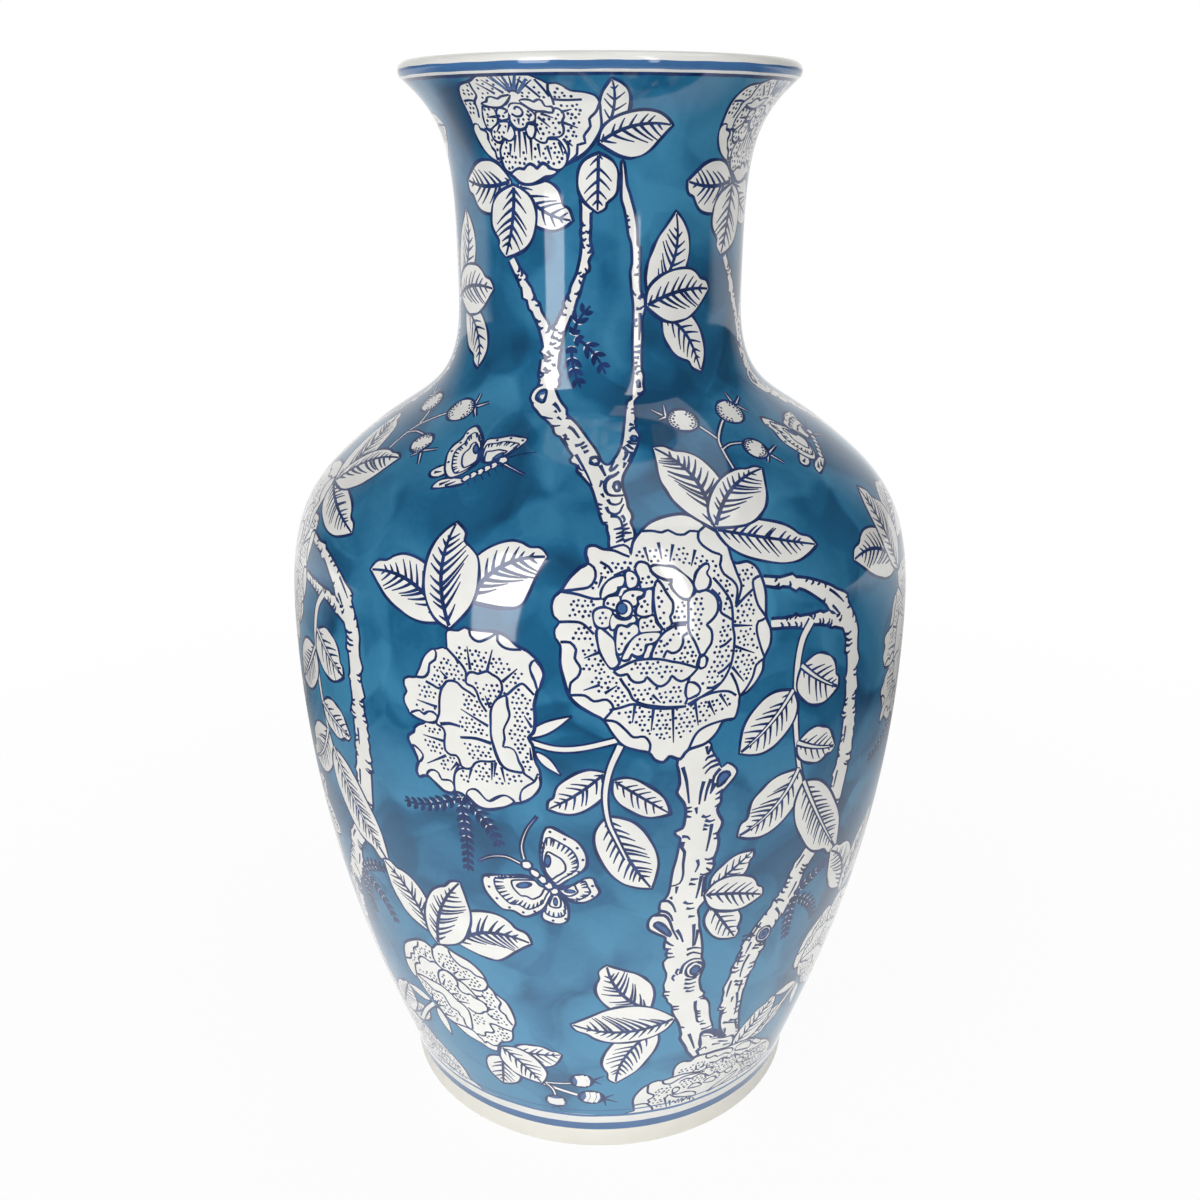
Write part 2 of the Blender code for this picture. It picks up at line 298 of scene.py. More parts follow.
class Brush:
    """Lays painted shapes on the unrolled wall, each over the ones before it."""

    def __init__(self, wall):
        self.wall = wall
        self.hand = np.random.default_rng(HAND_SEED)
        self.shapes = []

    def at(self, *places):
        """Flat points of (degrees, millimetres) places."""
        turn, length = np.array(places, float).T
        return self.wall.flat(turn, length)

    def lay(self, paint, outline):
        """Adds a painted shape."""
        self.shapes.append((paint, outline))

    def soft(self, knots, closed=False, step=CURVE_STEP, carried=None):
        """Points of a soft curve through knots, or those points and values carried along them."""
        knots = np.asarray(knots)
        if closed:
            ring = np.concatenate([knots[-1:], knots, knots[:2]])
        else:
            ring = np.concatenate([2 * knots[:1] - knots[1:2], knots, 2 * knots[-1:] - knots[-2:-1]])
        runs, places = [], []
        for index, (a, b, c, d) in enumerate(zip(ring, ring[1:], ring[2:], ring[3:])):
            count = max(2, int(np.abs(c - b) / (step * self.wall.mm(b))))
            t = np.arange(count) / count
            bend = a - 2.5 * b + 2 * c - d / 2 + t * (1.5 * (b - c) + (d - a) / 2)
            runs.append(b + t * ((c - a) / 2 + t * bend))
            places.append(index + t)
        if not closed:
            runs.append(knots[-1:])
            places.append([len(knots) - 1])
        path = np.concatenate(runs)
        if carried is None:
            return path
        return path, np.interp(np.concatenate(places), np.arange(len(carried)), carried)

    def grow(self, outline, width):
        """An outline moved outwards by a width in mm."""
        along = np.roll(outline, -1) - np.roll(outline, 1)
        area = np.sum(outline.real * np.roll(outline.imag, -1) - np.roll(outline.real, -1) * outline.imag)
        outwards = -1j * np.sign(area) * along / np.maximum(np.abs(along), TINY)
        return outline + outwards * width * self.wall.mm(outline)

    def across(self, path):
        """Directions to the left of a path, one millimetre long."""
        along = np.gradient(path)
        return 1j * along / np.maximum(np.abs(along), TINY) * self.wall.mm(path)

    def ribbon(self, path, left, right=None):
        """Outline of a path thickened to both sides, in mm."""
        side = self.across(path)
        right = left if right is None else right
        return np.concatenate([path + side * left, (path - side * right)[::-1]])

    def pressure(self, count, amount=0.28):
        """Uneven pressure of the brush round a closed line, about 1."""
        turn = np.linspace(0, 2 * pi, count, endpoint=False)
        waves = sum(np.sin(k * turn + self.hand.uniform(0, 2 * pi)) for k in self.hand.integers(1, 7, 3))
        return 1 + amount * waves / 2

    def outlined(self, outline, line=LINE, fill="reserve"):
        """A white shape with an ink outline."""
        half = line / 2 * self.pressure(len(outline))
        self.lay("ink", self.grow(outline, half))
        self.lay(fill, self.grow(outline, -half))

    def sweep(self, path, first, last, paint="ink", belly=0.0):
        """One brush stroke along flat points, from one width to another, fuller in its middle."""
        t = np.linspace(0, 1, len(path))
        half = (first + (last - first) * t + belly * np.sin(pi * t)) / 2
        self.lay(paint, self.ribbon(path, half))

    def stroke(self, *places, first=1.0, last=0.35, paint="ink", belly=0.0):
        """One brush stroke through places."""
        self.sweep(self.soft(self.at(*places), step=1.6), first, last, paint, belly)

    def dot(self, spot, radius=DOT_RADIUS, paint="ink", corners=6):
        """A small round dab."""
        turn = np.arange(corners) * 2 * pi / corners + self.hand.uniform(0, 1)
        self.lay(paint, spot + radius * self.wall.mm(spot) * np.exp(1j * turn))

    def petal(self, *places):
        """A plain lobed petal."""
        self.outlined(self.soft(self.at(*places), closed=True))

    def dashes(self, *runs, first=1.0, last=0.35, paint="ink"):
        """Strokes, each through its own places."""
        for places in runs:
            self.stroke(*places, first=first, last=last, paint=paint)

    def flower(self, silhouette, edges, plain, cells, strokes, fields, fine=0.62, packed=False):
        """A flower drawn in line: its white shape, petal edges, plain and dotted petals, strokes and dots.

        Packed petals keep their whole outlines white, with the ink filling the gaps between them.
        """
        outline = self.soft(self.at(*silhouette), closed=True)
        self.outlined(outline)
        drawn = [outline]
        bare = [self.soft(self.at(*places), closed=True) for places in plain]
        for places in edges:
            drawn.append(self.soft(self.at(*places)))
            self.sweep(drawn[-1], 0.92 * LINE, 0.82 * LINE)
        dotted = [self.soft(self.at(*places), closed=True) for places in cells]
        for ring in bare + dotted:
            drawn.append(ring)
            if packed:
                self.lay("ink", self.grow(ring, fine * LINE * self.pressure(len(ring))))
            else:
                self.outlined(ring, fine * LINE)
        for ring in bare + dotted if packed else ():
            self.lay("reserve", ring)
        for begin, end in strokes:
            drawn.append(self.soft(self.at(begin, end)))
            self.sweep(drawn[-1], 1.2, 0.4)
        drawn = np.concatenate(drawn)
        for index, patch in enumerate(dotted):
            self.field(patch, drawn, bare + dotted[index + 1:])
        for places in fields:
            self.field(self.at(*places), drawn, bare)

    def field(self, patch, drawn, bare):
        """Dots over a patch, clear of what is drawn there and off its bare petals."""
        scale = self.wall.mm(patch[0])
        gap = DOT_GAP * scale
        rows = int(np.ptp(patch.imag) / gap / DOT_PITCH) + 1
        columns = int(np.ptp(patch.real) / gap) + 2
        row, column = np.mgrid[0:rows, 0:columns]
        origin = complex(patch.real.min(), patch.imag.min())
        spots = origin + gap * (column + 0.5 * (row % 2) + 1j * DOT_PITCH * row).ravel()
        shake = self.hand.uniform(-0.35, 0.35, (2, len(spots))) * scale
        spots = spots + shake[0] + 1j * shake[1]
        spots = spots[inside(spots, patch)]
        clear = np.abs(spots[:, None] - drawn[None]).min(1) > DOT_CLEAR * scale
        for ring in bare:
            clear &= ~inside(spots, ring)
        for spot in spots[clear]:
            self.dot(spot, DOT_RADIUS * self.hand.uniform(0.85, 1.15))

    def leaf(self, base, tip, left, right, bend=0.0, lobe=0, rib="dark", reach=0.66, gap=3.4):
        """A veined leaf: widths to both sides of a midrib that bends to its left."""
        start, end = self.at(base, tip)
        scale = self.wall.mm((start + end) / 2)
        run = np.abs(end - start) / scale
        t = np.linspace(0, 1, int(run / CURVE_STEP) + 8)
        spine = bowed(start, end, bend, scale, t)
        along = np.gradient(spine) / np.abs(np.gradient(spine))
        widths = {}
        for side, width in ((LEFT, left), (RIGHT, right)):
            knots = np.array(LEAF_LOBE if lobe == side else LEAF_EDGE)
            edge = self.soft(knots @ (1, 1j), step=0.02 / self.wall.mm(0j))
            widths[side] = width * np.interp(t, edge.real, edge.imag)
        edges = [spine + 1j * side * along * widths[side] * scale for side in (LEFT, RIGHT)]
        self.outlined(np.concatenate([edges[0], edges[1][-2:0:-1]]))
        veins = max(3, int(run / gap))
        bold = 0.42 + 0.05 * (left + right)
        steps = np.linspace(0, 1, 5)
        for side in (LEFT, RIGHT):
            for place in np.linspace(0.08, 0.82, veins) + self.hand.uniform(-0.02, 0.02, veins):
                index = int(place * (len(t) - 1))
                ahead = min(len(t) - 1, index + int(0.14 * len(t)))
                press = self.hand.uniform(0.9, 1.15)
                long = min(widths[side][index], widths[side][ahead]) * reach * press / 0.85
                if long > 1.0:
                    vein = steps * np.exp(1j * side * VEIN_ANGLE) + 0.25 * steps ** 2
                    self.sweep(spine[index] + along[index] * scale * long * vein, bold, 0.4)
        if rib == "pale":
            self.sweep(spine[1:-1], 2.8, 1.2)
            self.sweep(spine[:int(0.86 * len(t))], 1.3, 0.3, "reserve")
        else:
            self.sweep(spine[1:-1], bold, 0.6 * bold, belly=0.3)

    def blade(self, base, tip, width, bend=0.0):
        """A plain narrow leaf."""
        start, end = self.at(base, tip)
        scale = self.wall.mm(start)
        t = np.linspace(0, 1, 14)
        spine = bowed(start, end, bend, scale, t)
        half = width / 2 * np.sin(pi * t ** 0.8)
        self.lay("ink", self.ribbon(spine, half + 0.5))
        self.lay("reserve", self.ribbon(spine[1:-1], np.maximum(half - 0.4, 0.05)[1:-1]))

    def bark(self, reach):
        """Ragged swellings along a limb's edge, in mm."""
        tooth = np.cumsum(self.hand.uniform(2.5, 7, int(reach[-1] / 4) + 3))
        height = self.hand.uniform(0, 1, len(tooth)) ** 2 * 1.9
        places = np.repeat(tooth, 2)
        places[1::2] += 1.0
        heights = np.repeat(height, 2)
        heights[1::2] = 0
        return np.interp(reach, places, heights)

    def limbs(self, *routes, marks=1.0, stubs=(), joined=()):
        """Woody limbs that grow into each other: routes of (degrees, mm, width), stubs and drawn forks."""
        grown = []
        for knots in routes:
            turn, length, width = np.array(knots, float).T
            path, half = self.soft(self.wall.flat(turn, length), step=1.3, carried=width / 2)
            reach = np.concatenate([[0], np.cumsum(np.abs(np.diff(path)) / self.wall.mm(path)[1:])])
            grown.append((path, half, reach, {side: half + self.bark(reach) for side in (LEFT, RIGHT)}))
        rings = [self.soft(self.at(*places), closed=True) for places in (*stubs, *joined)]
        for path, half, reach, edges in grown:
            self.lay("ink", self.ribbon(path, edges[LEFT] + 0.65, edges[RIGHT] + 0.65))
        for ring in rings:
            self.lay("ink", self.grow(ring, 0.55))
        for path, half, reach, edges in grown:
            self.lay("reserve", self.ribbon(path, edges[LEFT] - 0.55, edges[RIGHT] - 0.55))
        for ring in rings:
            self.lay("reserve", self.grow(ring, -0.55))
        for limb in grown:
            self.grain(*limb, marks)
        for ring in rings[:len(stubs)]:
            heart = ring.mean()
            self.outlined(heart + (ring - heart) * 0.5, fill="mid")
            self.lay("reserve", heart + (ring - heart) * np.linspace(0.1, 0.3, len(ring)))

    def grain(self, path, half, reach, edges, marks):
        """Ticks and short streaks in the bark, along both edges of a limb."""
        side = self.across(path)
        along = -1j * side
        for lean in (LEFT, RIGHT):
            place = self.hand.uniform(1, 7)
            while place < reach[-1] - 8:
                long = self.hand.uniform(1.6, 4.2)
                for _ in range(self.hand.integers(1, 5)):
                    index = min(np.searchsorted(reach, place), len(path) - 2)
                    start = path[index] + side[index] * lean * edges[lean][index]
                    drift = -side[index] * lean * min(1.2 * half[index], long * self.hand.uniform(0.6, 1.1))
                    drift = drift + along[index] * self.hand.uniform(-0.8, 1.6)
                    self.sweep(np.array([start, start + drift / 2 + along[index] * 0.5, start + drift]),
                               1.5, 0.6)
                    place += self.hand.uniform(1.9, 3.0)
                if half[index] > 3 and self.hand.uniform() < 0.4:
                    first = min(np.searchsorted(reach, place + self.hand.uniform(0, 4)), len(path) - 2)
                    last = min(np.searchsorted(reach, reach[first] + self.hand.uniform(5, 12)),
                               len(path) - 1)
                    inset = self.hand.uniform(0.3, 0.7)
                    if last > first + 2:
                        run = path[first:last] + side[first:last] * lean * half[first:last] * inset
                        self.sweep(run, 1.1, 0.5, belly=0.3)
                place += self.hand.uniform(3, 15) / marks

    def stem(self, *places, width=1.5, end=None):
        """A thin stalk: a white line between two ink ones."""
        path = self.soft(self.at(*places), step=1.5)
        half = np.linspace(width, width if end is None else end, len(path)) / 2
        self.lay("ink", self.ribbon(path, half + 0.75))
        self.lay("reserve", self.ribbon(path, half - 0.1))

    def oval(self, place, wide, tall, lean=0.0, count=26):
        """Flat outline of an oval, its half sizes in mm and its lean in degrees."""
        spot = self.at(place)[0]
        turn = np.linspace(0, 2 * pi, count, endpoint=False)
        shape = (wide * np.cos(turn) + 1j * tall * np.sin(turn)) * np.exp(1j * radians(lean))
        return spot + shape * self.wall.mm(spot)

    def knot(self, place, wide, tall, lean=0.0):
        """A ring knot in the bark."""
        self.outlined(self.oval(place, wide, tall, lean), line=0.9)
        self.outlined(self.oval(place, wide * 0.66, tall * 0.66, lean, 18), line=0.9, fill="mid")
        self.lay("ink", self.oval(place, wide * 0.3, tall * 0.3, lean, 12))

    def fern(self, base, tip, bend=0.0, long=5.0):
        """A feathery frond of small leaflets on a dark rib."""
        start, end = self.at(base, tip)
        scale = self.wall.mm(start)
        run = np.abs(end - start) / scale
        pairs = int(run / 2.7)
        t = np.linspace(0, 1, pairs)
        spine = bowed(start, end, bend, scale, t)
        along = np.gradient(spine) / np.abs(np.gradient(spine)) * scale
        for index in range(pairs - 1):
            size_here = long * (1 - 0.45 * t[index]) * min(1, 0.55 + 2 * t[index])
            for side in (LEFT, RIGHT):
                out = along[index] * np.exp(1j * side * LEAFLET_ANGLE) * size_here
                leaflet = spine[index] + out * np.linspace(0, 1, 5)
                if t[index] < 0.6:
                    self.lay("reserve", self.ribbon(leaflet[:4], np.array((0.3, 0.9, 0.9, 0.5))))
                self.lay("ink", self.ribbon(leaflet + out * 0.15, np.array((0.25, 0.85, 0.95, 0.75, 0.1))))
        self.sweep(spine, 1.4, 0.8)

    def berry(self, place, wide, tall, lean, sepals):
        """A plump berry, ticked at both ends, with its dried sepals."""
        for begin, end in sepals:
            self.stem(begin, end, width=0.9, end=0.3)
        outline = self.oval(place, wide, tall, lean)
        self.outlined(outline)
        spot = self.at(place)[0]
        for index, edge in enumerate(outline):
            if abs(np.cos(2 * pi * index / len(outline))) > 0.45:
                for depth in (0.1, 0.3)[:1 + index % 2]:
                    self.dot(edge + (spot - edge) * (depth + 0.08), 0.5)

    def hip(self, place, wide, tall, lean, tails):
        """A rose hip: dark ends, pale bands and a tuft."""
        for begin, end in tails:
            self.stroke(begin, end, first=1.4, last=0.4)
        self.lay("ink", self.oval(place, wide + 0.5, tall + 0.5, lean))
        self.lay("mid", self.oval(place, wide * 0.8, tall * 0.8, lean))
        spot = self.at(place)[0]
        ahead = np.exp(1j * radians(lean)) * self.wall.mm(spot)
        for shift, width in ((-0.38, 1.5), (0.02, 2.2), (0.42, 1.3)):
            high = tall * np.sqrt(1 - shift ** 2) * 0.82
            curve = spot + ahead * (shift * wide + np.array((0, 0.8, 0)) + 1j * high * np.array((-1, 0, 1)))
            self.sweep(self.soft(curve, step=1.5), width, width, "reserve")

    def wing(self, root, places):
        """A butterfly's wing: a dotted border, rays from its root and an eye spot."""
        outline = self.soft(self.at(*places), closed=True)
        self.outlined(outline)
        heart = self.at(root)[0]
        scale = self.wall.mm(heart)
        run = np.abs(outline - heart) / scale
        reach = np.cumsum(np.abs(np.diff(outline, append=outline[:1]))) / scale
        for part, line in ((0.8, 0.7), (0.5, 0.8)):
            border = heart + (outline - heart) * part
            self.lay("ink", border)
            self.lay("reserve", self.grow(border, -line))
            for index in np.flatnonzero(np.diff(np.floor(reach / 2.3), prepend=0)):
                if part > 0.6 and run[index] > 0.5 * run.max():
                    self.sweep(heart + (outline[index] - heart) * np.array((0.79, 0.7, 0.62)), 1.1, 0.4)
        for index in np.flatnonzero(np.diff(np.floor(reach / 6.0), prepend=0)):
            if run[index] > 0.6 * run.max():
                self.dot(heart + (outline[index] - heart) * 0.9, 0.62)
        far = outline[np.argmax(run)] - heart
        eye = np.exp(1j * np.linspace(0, 2 * pi, 16, endpoint=False))
        eye = (0.11 * eye.real + 0.05j * eye.imag) * far
        self.lay("ink", heart + far * 0.28 + eye * 1.35)
        self.lay("mid", heart + far * 0.29 + eye * 0.75)

    def ring(self, low, high, paint, waver=0.12):
        """A painted line round the vase."""
        turn = np.linspace(REPEAT_START - 2, REPEAT_START + 92, 72)
        wave = waver * np.sin(np.radians(turn * 12)) + waver * np.sin(np.radians(turn * 28 + 40))
        self.lay(paint,
                 np.concatenate([self.wall.flat(turn, low + wave),
                                 self.wall.flat(turn, high + wave)[::-1]]))


def paint_neck(b):
    """Peony, leaves and branches of the neck."""
    fork = (
        (7.2, 409.5), (7.4, 405), (7.4, 400), (7.6, 397), (8.5, 394.5), (9.3, 391), (9.8, 388),
        (10.2, 385.5), (11.2, 383), (11.6, 379), (11.6, 376), (11, 373.5), (11.3, 370), (11.5, 367),
        (12, 364), (12.3, 360), (12.2, 356), (12, 352), (11.9, 348), (11.9, 344), (11.8, 340), (11.5, 337),
        (10.8, 334), (10.4, 331.5), (10.2, 329.3), (8.9, 328.4), (8.2, 326.4), (7.6, 323.5), (7.1, 320),
        (6.5, 316), (6, 312.5), (5.5, 309.5), (5, 307.3), (4.2, 304.5), (3.3, 302.2), (2.4, 300.2),
        (1.5, 299.6), (0.6, 300.8), (0, 302.8), (-0.5, 305), (-1.5, 308), (-3, 311.5), (-4.5, 314.8),
        (-6, 317.8), (-7.5, 320), (-8.6, 321.3), (-10, 322.8), (-10.4, 325.2), (-12, 327.3), (-13.5, 329.5),
        (-14.8, 332), (-16.4, 335), (-20.6, 335), (-21, 331), (-22, 326.3), (-20, 323.8), (-18, 321.5),
        (-16, 319.8), (-14.5, 318.2), (-13.2, 316.3), (-12.7, 314.5), (-11.8, 313), (-10.8, 312.5),
        (-10.2, 311.5), (-9.2, 309.5), (-8.3, 307.5), (-7.4, 305.3), (-6.5, 303.5), (-7, 301.8),
        (-6.6, 300.2), (-5.6, 299.6), (-5.1, 298.2), (-5.1, 296.6), (-4.5, 295.3), (-3.7, 294),
        (-2.9, 292.3), (-2, 290.5), (-1.5, 288.5), (-1.1, 286), (-0.8, 284), (-0.5, 282), (-0.2, 279.5),
        (0.1, 277.5), (0.5, 275.5), (1.2, 274.8), (1.2, 273), (1.5, 270.5), (1.5, 267), (2.2, 264),
        (4.8, 264), (5.6, 268.2), (6, 270), (6.1, 272), (5.9, 274), (5.6, 275.8), (6, 277.5), (5.9, 279.5),
        (5.4, 281.5), (5.3, 284), (5, 287), (4.7, 289.5), (4.7, 292), (5, 294.5), (5.6, 296.6),
        (6.3, 298.6), (7, 300.5), (7.6, 302.5), (8.2, 304.3), (8.8, 306.3), (9.4, 308), (9.9, 310),
        (10.4, 311.5), (10.6, 313.5), (10.2, 315.3), (10, 316.3), (10.3, 317.5), (10.2, 319.5), (10.7, 321),
        (10.8, 324), (11.1, 326), (11.3, 328.2), (13, 330), (14.5, 331.2), (15.1, 332.5), (15, 334.5),
        (15.5, 337), (15.4, 338.5), (15, 340), (15.1, 343), (15.2, 346), (15.7, 349.5), (15.8, 352),
        (15.7, 355), (16, 358), (17, 361), (16.5, 364.8), (15.5, 366), (15, 368), (14.8, 370), (14.8, 372),
        (14.7, 374), (14.8, 376), (14.6, 379), (14.7, 381.5), (13.8, 382.5), (13.7, 385), (13.5, 388),
        (13, 391), (12.3, 394), (11.3, 397), (10.5, 399.5), (9.5, 402), (9, 405), (8.2, 409.5))
    b.limbs(((-34.5, 377, 3), (-29, 368, 3.2), (-24.5, 360, 3.4), (-20.5, 352, 4), (-18, 342, 4.5),
             (-17, 333, 5)),
            ((-4, 402, 3.8), (-5, 393, 3.4), (-5, 387, 3), (-5.5, 380, 2.6), (-7, 373, 2.8),
             (-9.5, 366, 3.2), (-12.5, 359, 3.8), (-15.5, 352, 4.2), (-17.5, 343, 5), (-17, 333, 5)),
            ((-18.7, 343, 5), (-18.7, 337, 5.6), (-18.5, 330, 5)),
            stubs=(((-17, 334), (-20.5, 334), (-23, 331.8), (-23.4, 328.5), (-21.5, 326.3), (-17.5, 325)),),
            joined=(fork,))
    b.dashes(((-15, 327.3), (-13.6, 326), (-12.2, 323.8)), ((-9, 317.3), (-7.6, 316.2), (-5.4, 312)),
             ((-6.3, 308.3), (-4.8, 309), (-4, 310.4)), ((-4.7, 307.2), (-3.9, 307.8), (-3.2, 308.7)),
             ((-4, 305.3), (-3.3, 305.7), (-2.8, 306.4)), ((0, 299.5), (0.5, 297.5), (1.2, 294.6)),
             ((-9.8, 313.6), (-8.8, 312.4)), ((-9.6, 312), (-8, 311.2)),
             ((-9.6, 311), (-8.9, 309.6), (-8.1, 308)), ((2, 297), (3, 297.6), (4.1, 299.7)),
             ((2.3, 294.3), (3.2, 295), (4.2, 296.5)),
             ((2.3, 294.6), (1.2, 292.4), (1, 289.4), (1.6, 287), (3, 286.4), (4.9, 286.6)),
             ((8.4, 318.6), (9.7, 318)), ((10.2, 316.8), (8.9, 316.6), (8, 315)),
             ((7.3, 310.8), (7.9, 309.4), (9.3, 309)), ((6.7, 309), (7.5, 307.6), (8.3, 306.4)),
             ((5.7, 308), (6.5, 306), (7.5, 304.6)), ((8, 305.3), (7.3, 303), (6.4, 300.6)),
             ((6.4, 305.6), (6.2, 303.6), (5.4, 301.5)), first=1.7, last=0.9)
    b.dashes(((-5.8, 304.2), (-4.8, 301.5), (-3, 296), (-1.6, 290.5)),
             ((-17.5, 321.2), (-15.8, 320.9), (-14, 320.7)),
             ((-13.8, 317.4), (-12.6, 317.4), (-11.3, 317.8)), ((-12.8, 321.6), (-11.3, 320.3)),
             ((-10.2, 321.4), (-8.2, 320.8)), ((-14.1, 324.3), (-13.2, 323.4)),
             ((-5.2, 299.5), (-4.5, 297.6), (-3.6, 296.9)), ((-5, 296.5), (-3.8, 295.2)),
             ((0.5, 292.8), (-0.1, 290)), ((0.3, 287.4), (0.8, 285.7)),
             ((2.2, 296.9), (2.6, 299), (3.4, 301.5)),
             ((1.5, 285), (2, 283.3), (3, 282.8), (4, 283.6), (4.4, 285.6)),
             ((1.2, 282), (1.6, 280), (2.6, 279), (3.6, 279.6), (4.1, 281.4), (4.6, 283)),
             ((1.9, 278.3), (3.2, 278), (3.8, 276.5), (4, 274), (4.2, 270.5)), ((-0.4, 283), (0.5, 282.7)),
             ((-0.3, 281.3), (0.4, 281)), ((-0.2, 279.5), (0.5, 279)), ((0.4, 275.6), (1.4, 275.9)),
             ((4, 278.6), (4.5, 277), (4.2, 275.7)), ((4.1, 274.4), (5, 275.4)),
             ((4.2, 273.2), (5.3, 273.6)), ((4.3, 271.9), (5.6, 271.8)), ((4, 273.7), (2.4, 273.2)),
             ((4.1, 272.2), (2.8, 271.5)), ((4.1, 271), (2.7, 270)), ((4.2, 269.8), (2.7, 268.4)),
             ((4, 268.7), (5.8, 270)), ((5.8, 300.5), (5.2, 298)), ((11, 325.2), (9.6, 325)),
             ((10.8, 323.5), (9.4, 323.5)), ((8, 325.8), (8.8, 325.6)), ((8.9, 392.2), (10.3, 391.8)),
             ((9.5, 390.4), (10.8, 390.8)), ((9.9, 388.4), (11, 388.3)), ((14.9, 380.3), (13.8, 379.7)),
             ((14.9, 378.2), (13.9, 377.5)), ((14.9, 376), (13.4, 374.6)), ((14.9, 372.6), (12.4, 372.4)),
             ((11.6, 367), (13.3, 365.3)), ((13.4, 361), (14.8, 360.8), (16.4, 361.8)),
             ((14.4, 364), (15.2, 365.6), (15.7, 364.3)), ((14.9, 359.4), (14.8, 355), (14.5, 350)),
             ((14, 356.9), (12.8, 356.9), (12.8, 354.9), (14.2, 355)), ((15, 348), (12.6, 347.8)),
             ((14.8, 346), (12.3, 346)), ((14.3, 344), (12.1, 344)), ((13.6, 342.2), (12.2, 342.2)),
             ((12.3, 339.6), (13, 340.9), (15, 341)), ((12.8, 338), (13.6, 339), (15, 339.3)),
             ((12.4, 331.1), (13.8, 331.3), (14.9, 332.4)), first=1.3, last=0.6)
    b.outlined(b.oval((-1.2, 301.4), 1.5, 1.7), line=1.5)
    b.outlined(b.oval((3.5, 290.3), 1.1, 2.0), fill="mid")
    b.lay("reserve", b.oval((3.4, 289.9), 0.35, 0.8))
    b.outlined(b.oval((9, 311.7), 1.1, 1.4), fill="mid")
    b.outlined(b.oval((13.3, 334.8), 0.5, 1.1), fill="mid")
    b.fern((-10, 352), (-3.5, 362), 1)
    b.fern((-9, 351), (2, 338.5), 1.5)
    b.fern((-10.5, 348), (-6.5, 333.5), -1)

    # Leaves round the peony
    b.leaf((-33, 403.2), (-57.6, 403.2), 9.4, 8.8, 2, LEFT, gap=3.4)
    b.leaf((-30, 402.5), (-9.5, 390.5), 9.5, 6, -3, LEFT, gap=3.4)
    b.leaf((-32.3, 402), (-37.5, 377.5), 9.5, 10, 1.2, RIGHT, gap=3.4)
    b.leaf((1.7, 419), (3, 439), 4.8, 5.4, -2)
    b.leaf((-0.5, 412.5), (-0.9, 393), 7, 7, 0, LEFT, gap=3.4)
    b.leaf((-0.5, 415.5), (24, 421.5), 5, 10.5, 3, gap=3.4)

    # Side spray
    b.leaf((18, 364), (28.4, 393.5), 9.2, 6, -5, gap=3.4)
    b.leaf((23.5, 358.5), (39, 337), 6.5, 8.5, 4, RIGHT, gap=3.4)
    b.leaf((17, 361.5), (46, 366), 7.8, 10.3, 2.5, LEFT, gap=3.4)

    # Peony
    silhouette = (
        (-46.5, 423.5), (-46.5, 429.5), (-45.5, 433.5), (-43, 437), (-38, 438.5), (-33, 441),
        (-21.5, 441.5), (-15.5, 438), (-14.2, 436.8), (-12, 437), (-10, 435.7), (-8.3, 434), (-4, 433.2),
        (-1.2, 431.8), (-0.1, 429.3), (0.2, 425.7), (0.4, 420.7), (-1.6, 416.4), (-4.1, 413.2), (-7, 411),
        (-10.6, 409.3), (-12.1, 408.6), (-14.2, 407), (-15.7, 405.7), (-17.9, 404.3), (-21.5, 402.9),
        (-25.8, 402.1), (-29.4, 402.5), (-32.3, 404.6), (-35.6, 407.1), (-36.7, 409.3), (-39.5, 410),
        (-41.7, 412.3), (-44, 415), (-45.8, 417.7), (-46.5, 420.7))
    edges = (
        ((-38.5, 438.3), (-38.8, 435), (-38.7, 432.5), (-40.8, 430), (-41.2, 427), (-42, 424.3)),
        ((-45.4, 430.4), (-43, 430.8), (-40.6, 430.4)),
        ((-12.1, 417.1), (-10.6, 415), (-10.5, 412.1), (-11.7, 409.3), (-14.2, 407.5), (-15.7, 405.7)),
        ((-0.1, 429.3), (-1.2, 426.1), (-3.3, 423.6), (-3, 421.1), (-5.2, 417.9), (-4.8, 415.7),
         (-7.4, 415), (-7.7, 412.1), (-10.3, 409.6)),
        ((-13.9, 430.6), (-9.9, 430.3), (-5.2, 430.5)),
        ((-14.2, 436.6), (-14.6, 434), (-13.9, 431.1), (-13.7, 428.5)),
        ((-22.4, 438.6), (-19.6, 434.5), (-17.4, 431.3)), ((-17.6, 438.6), (-15.8, 434.6), (-14.6, 431.6)))
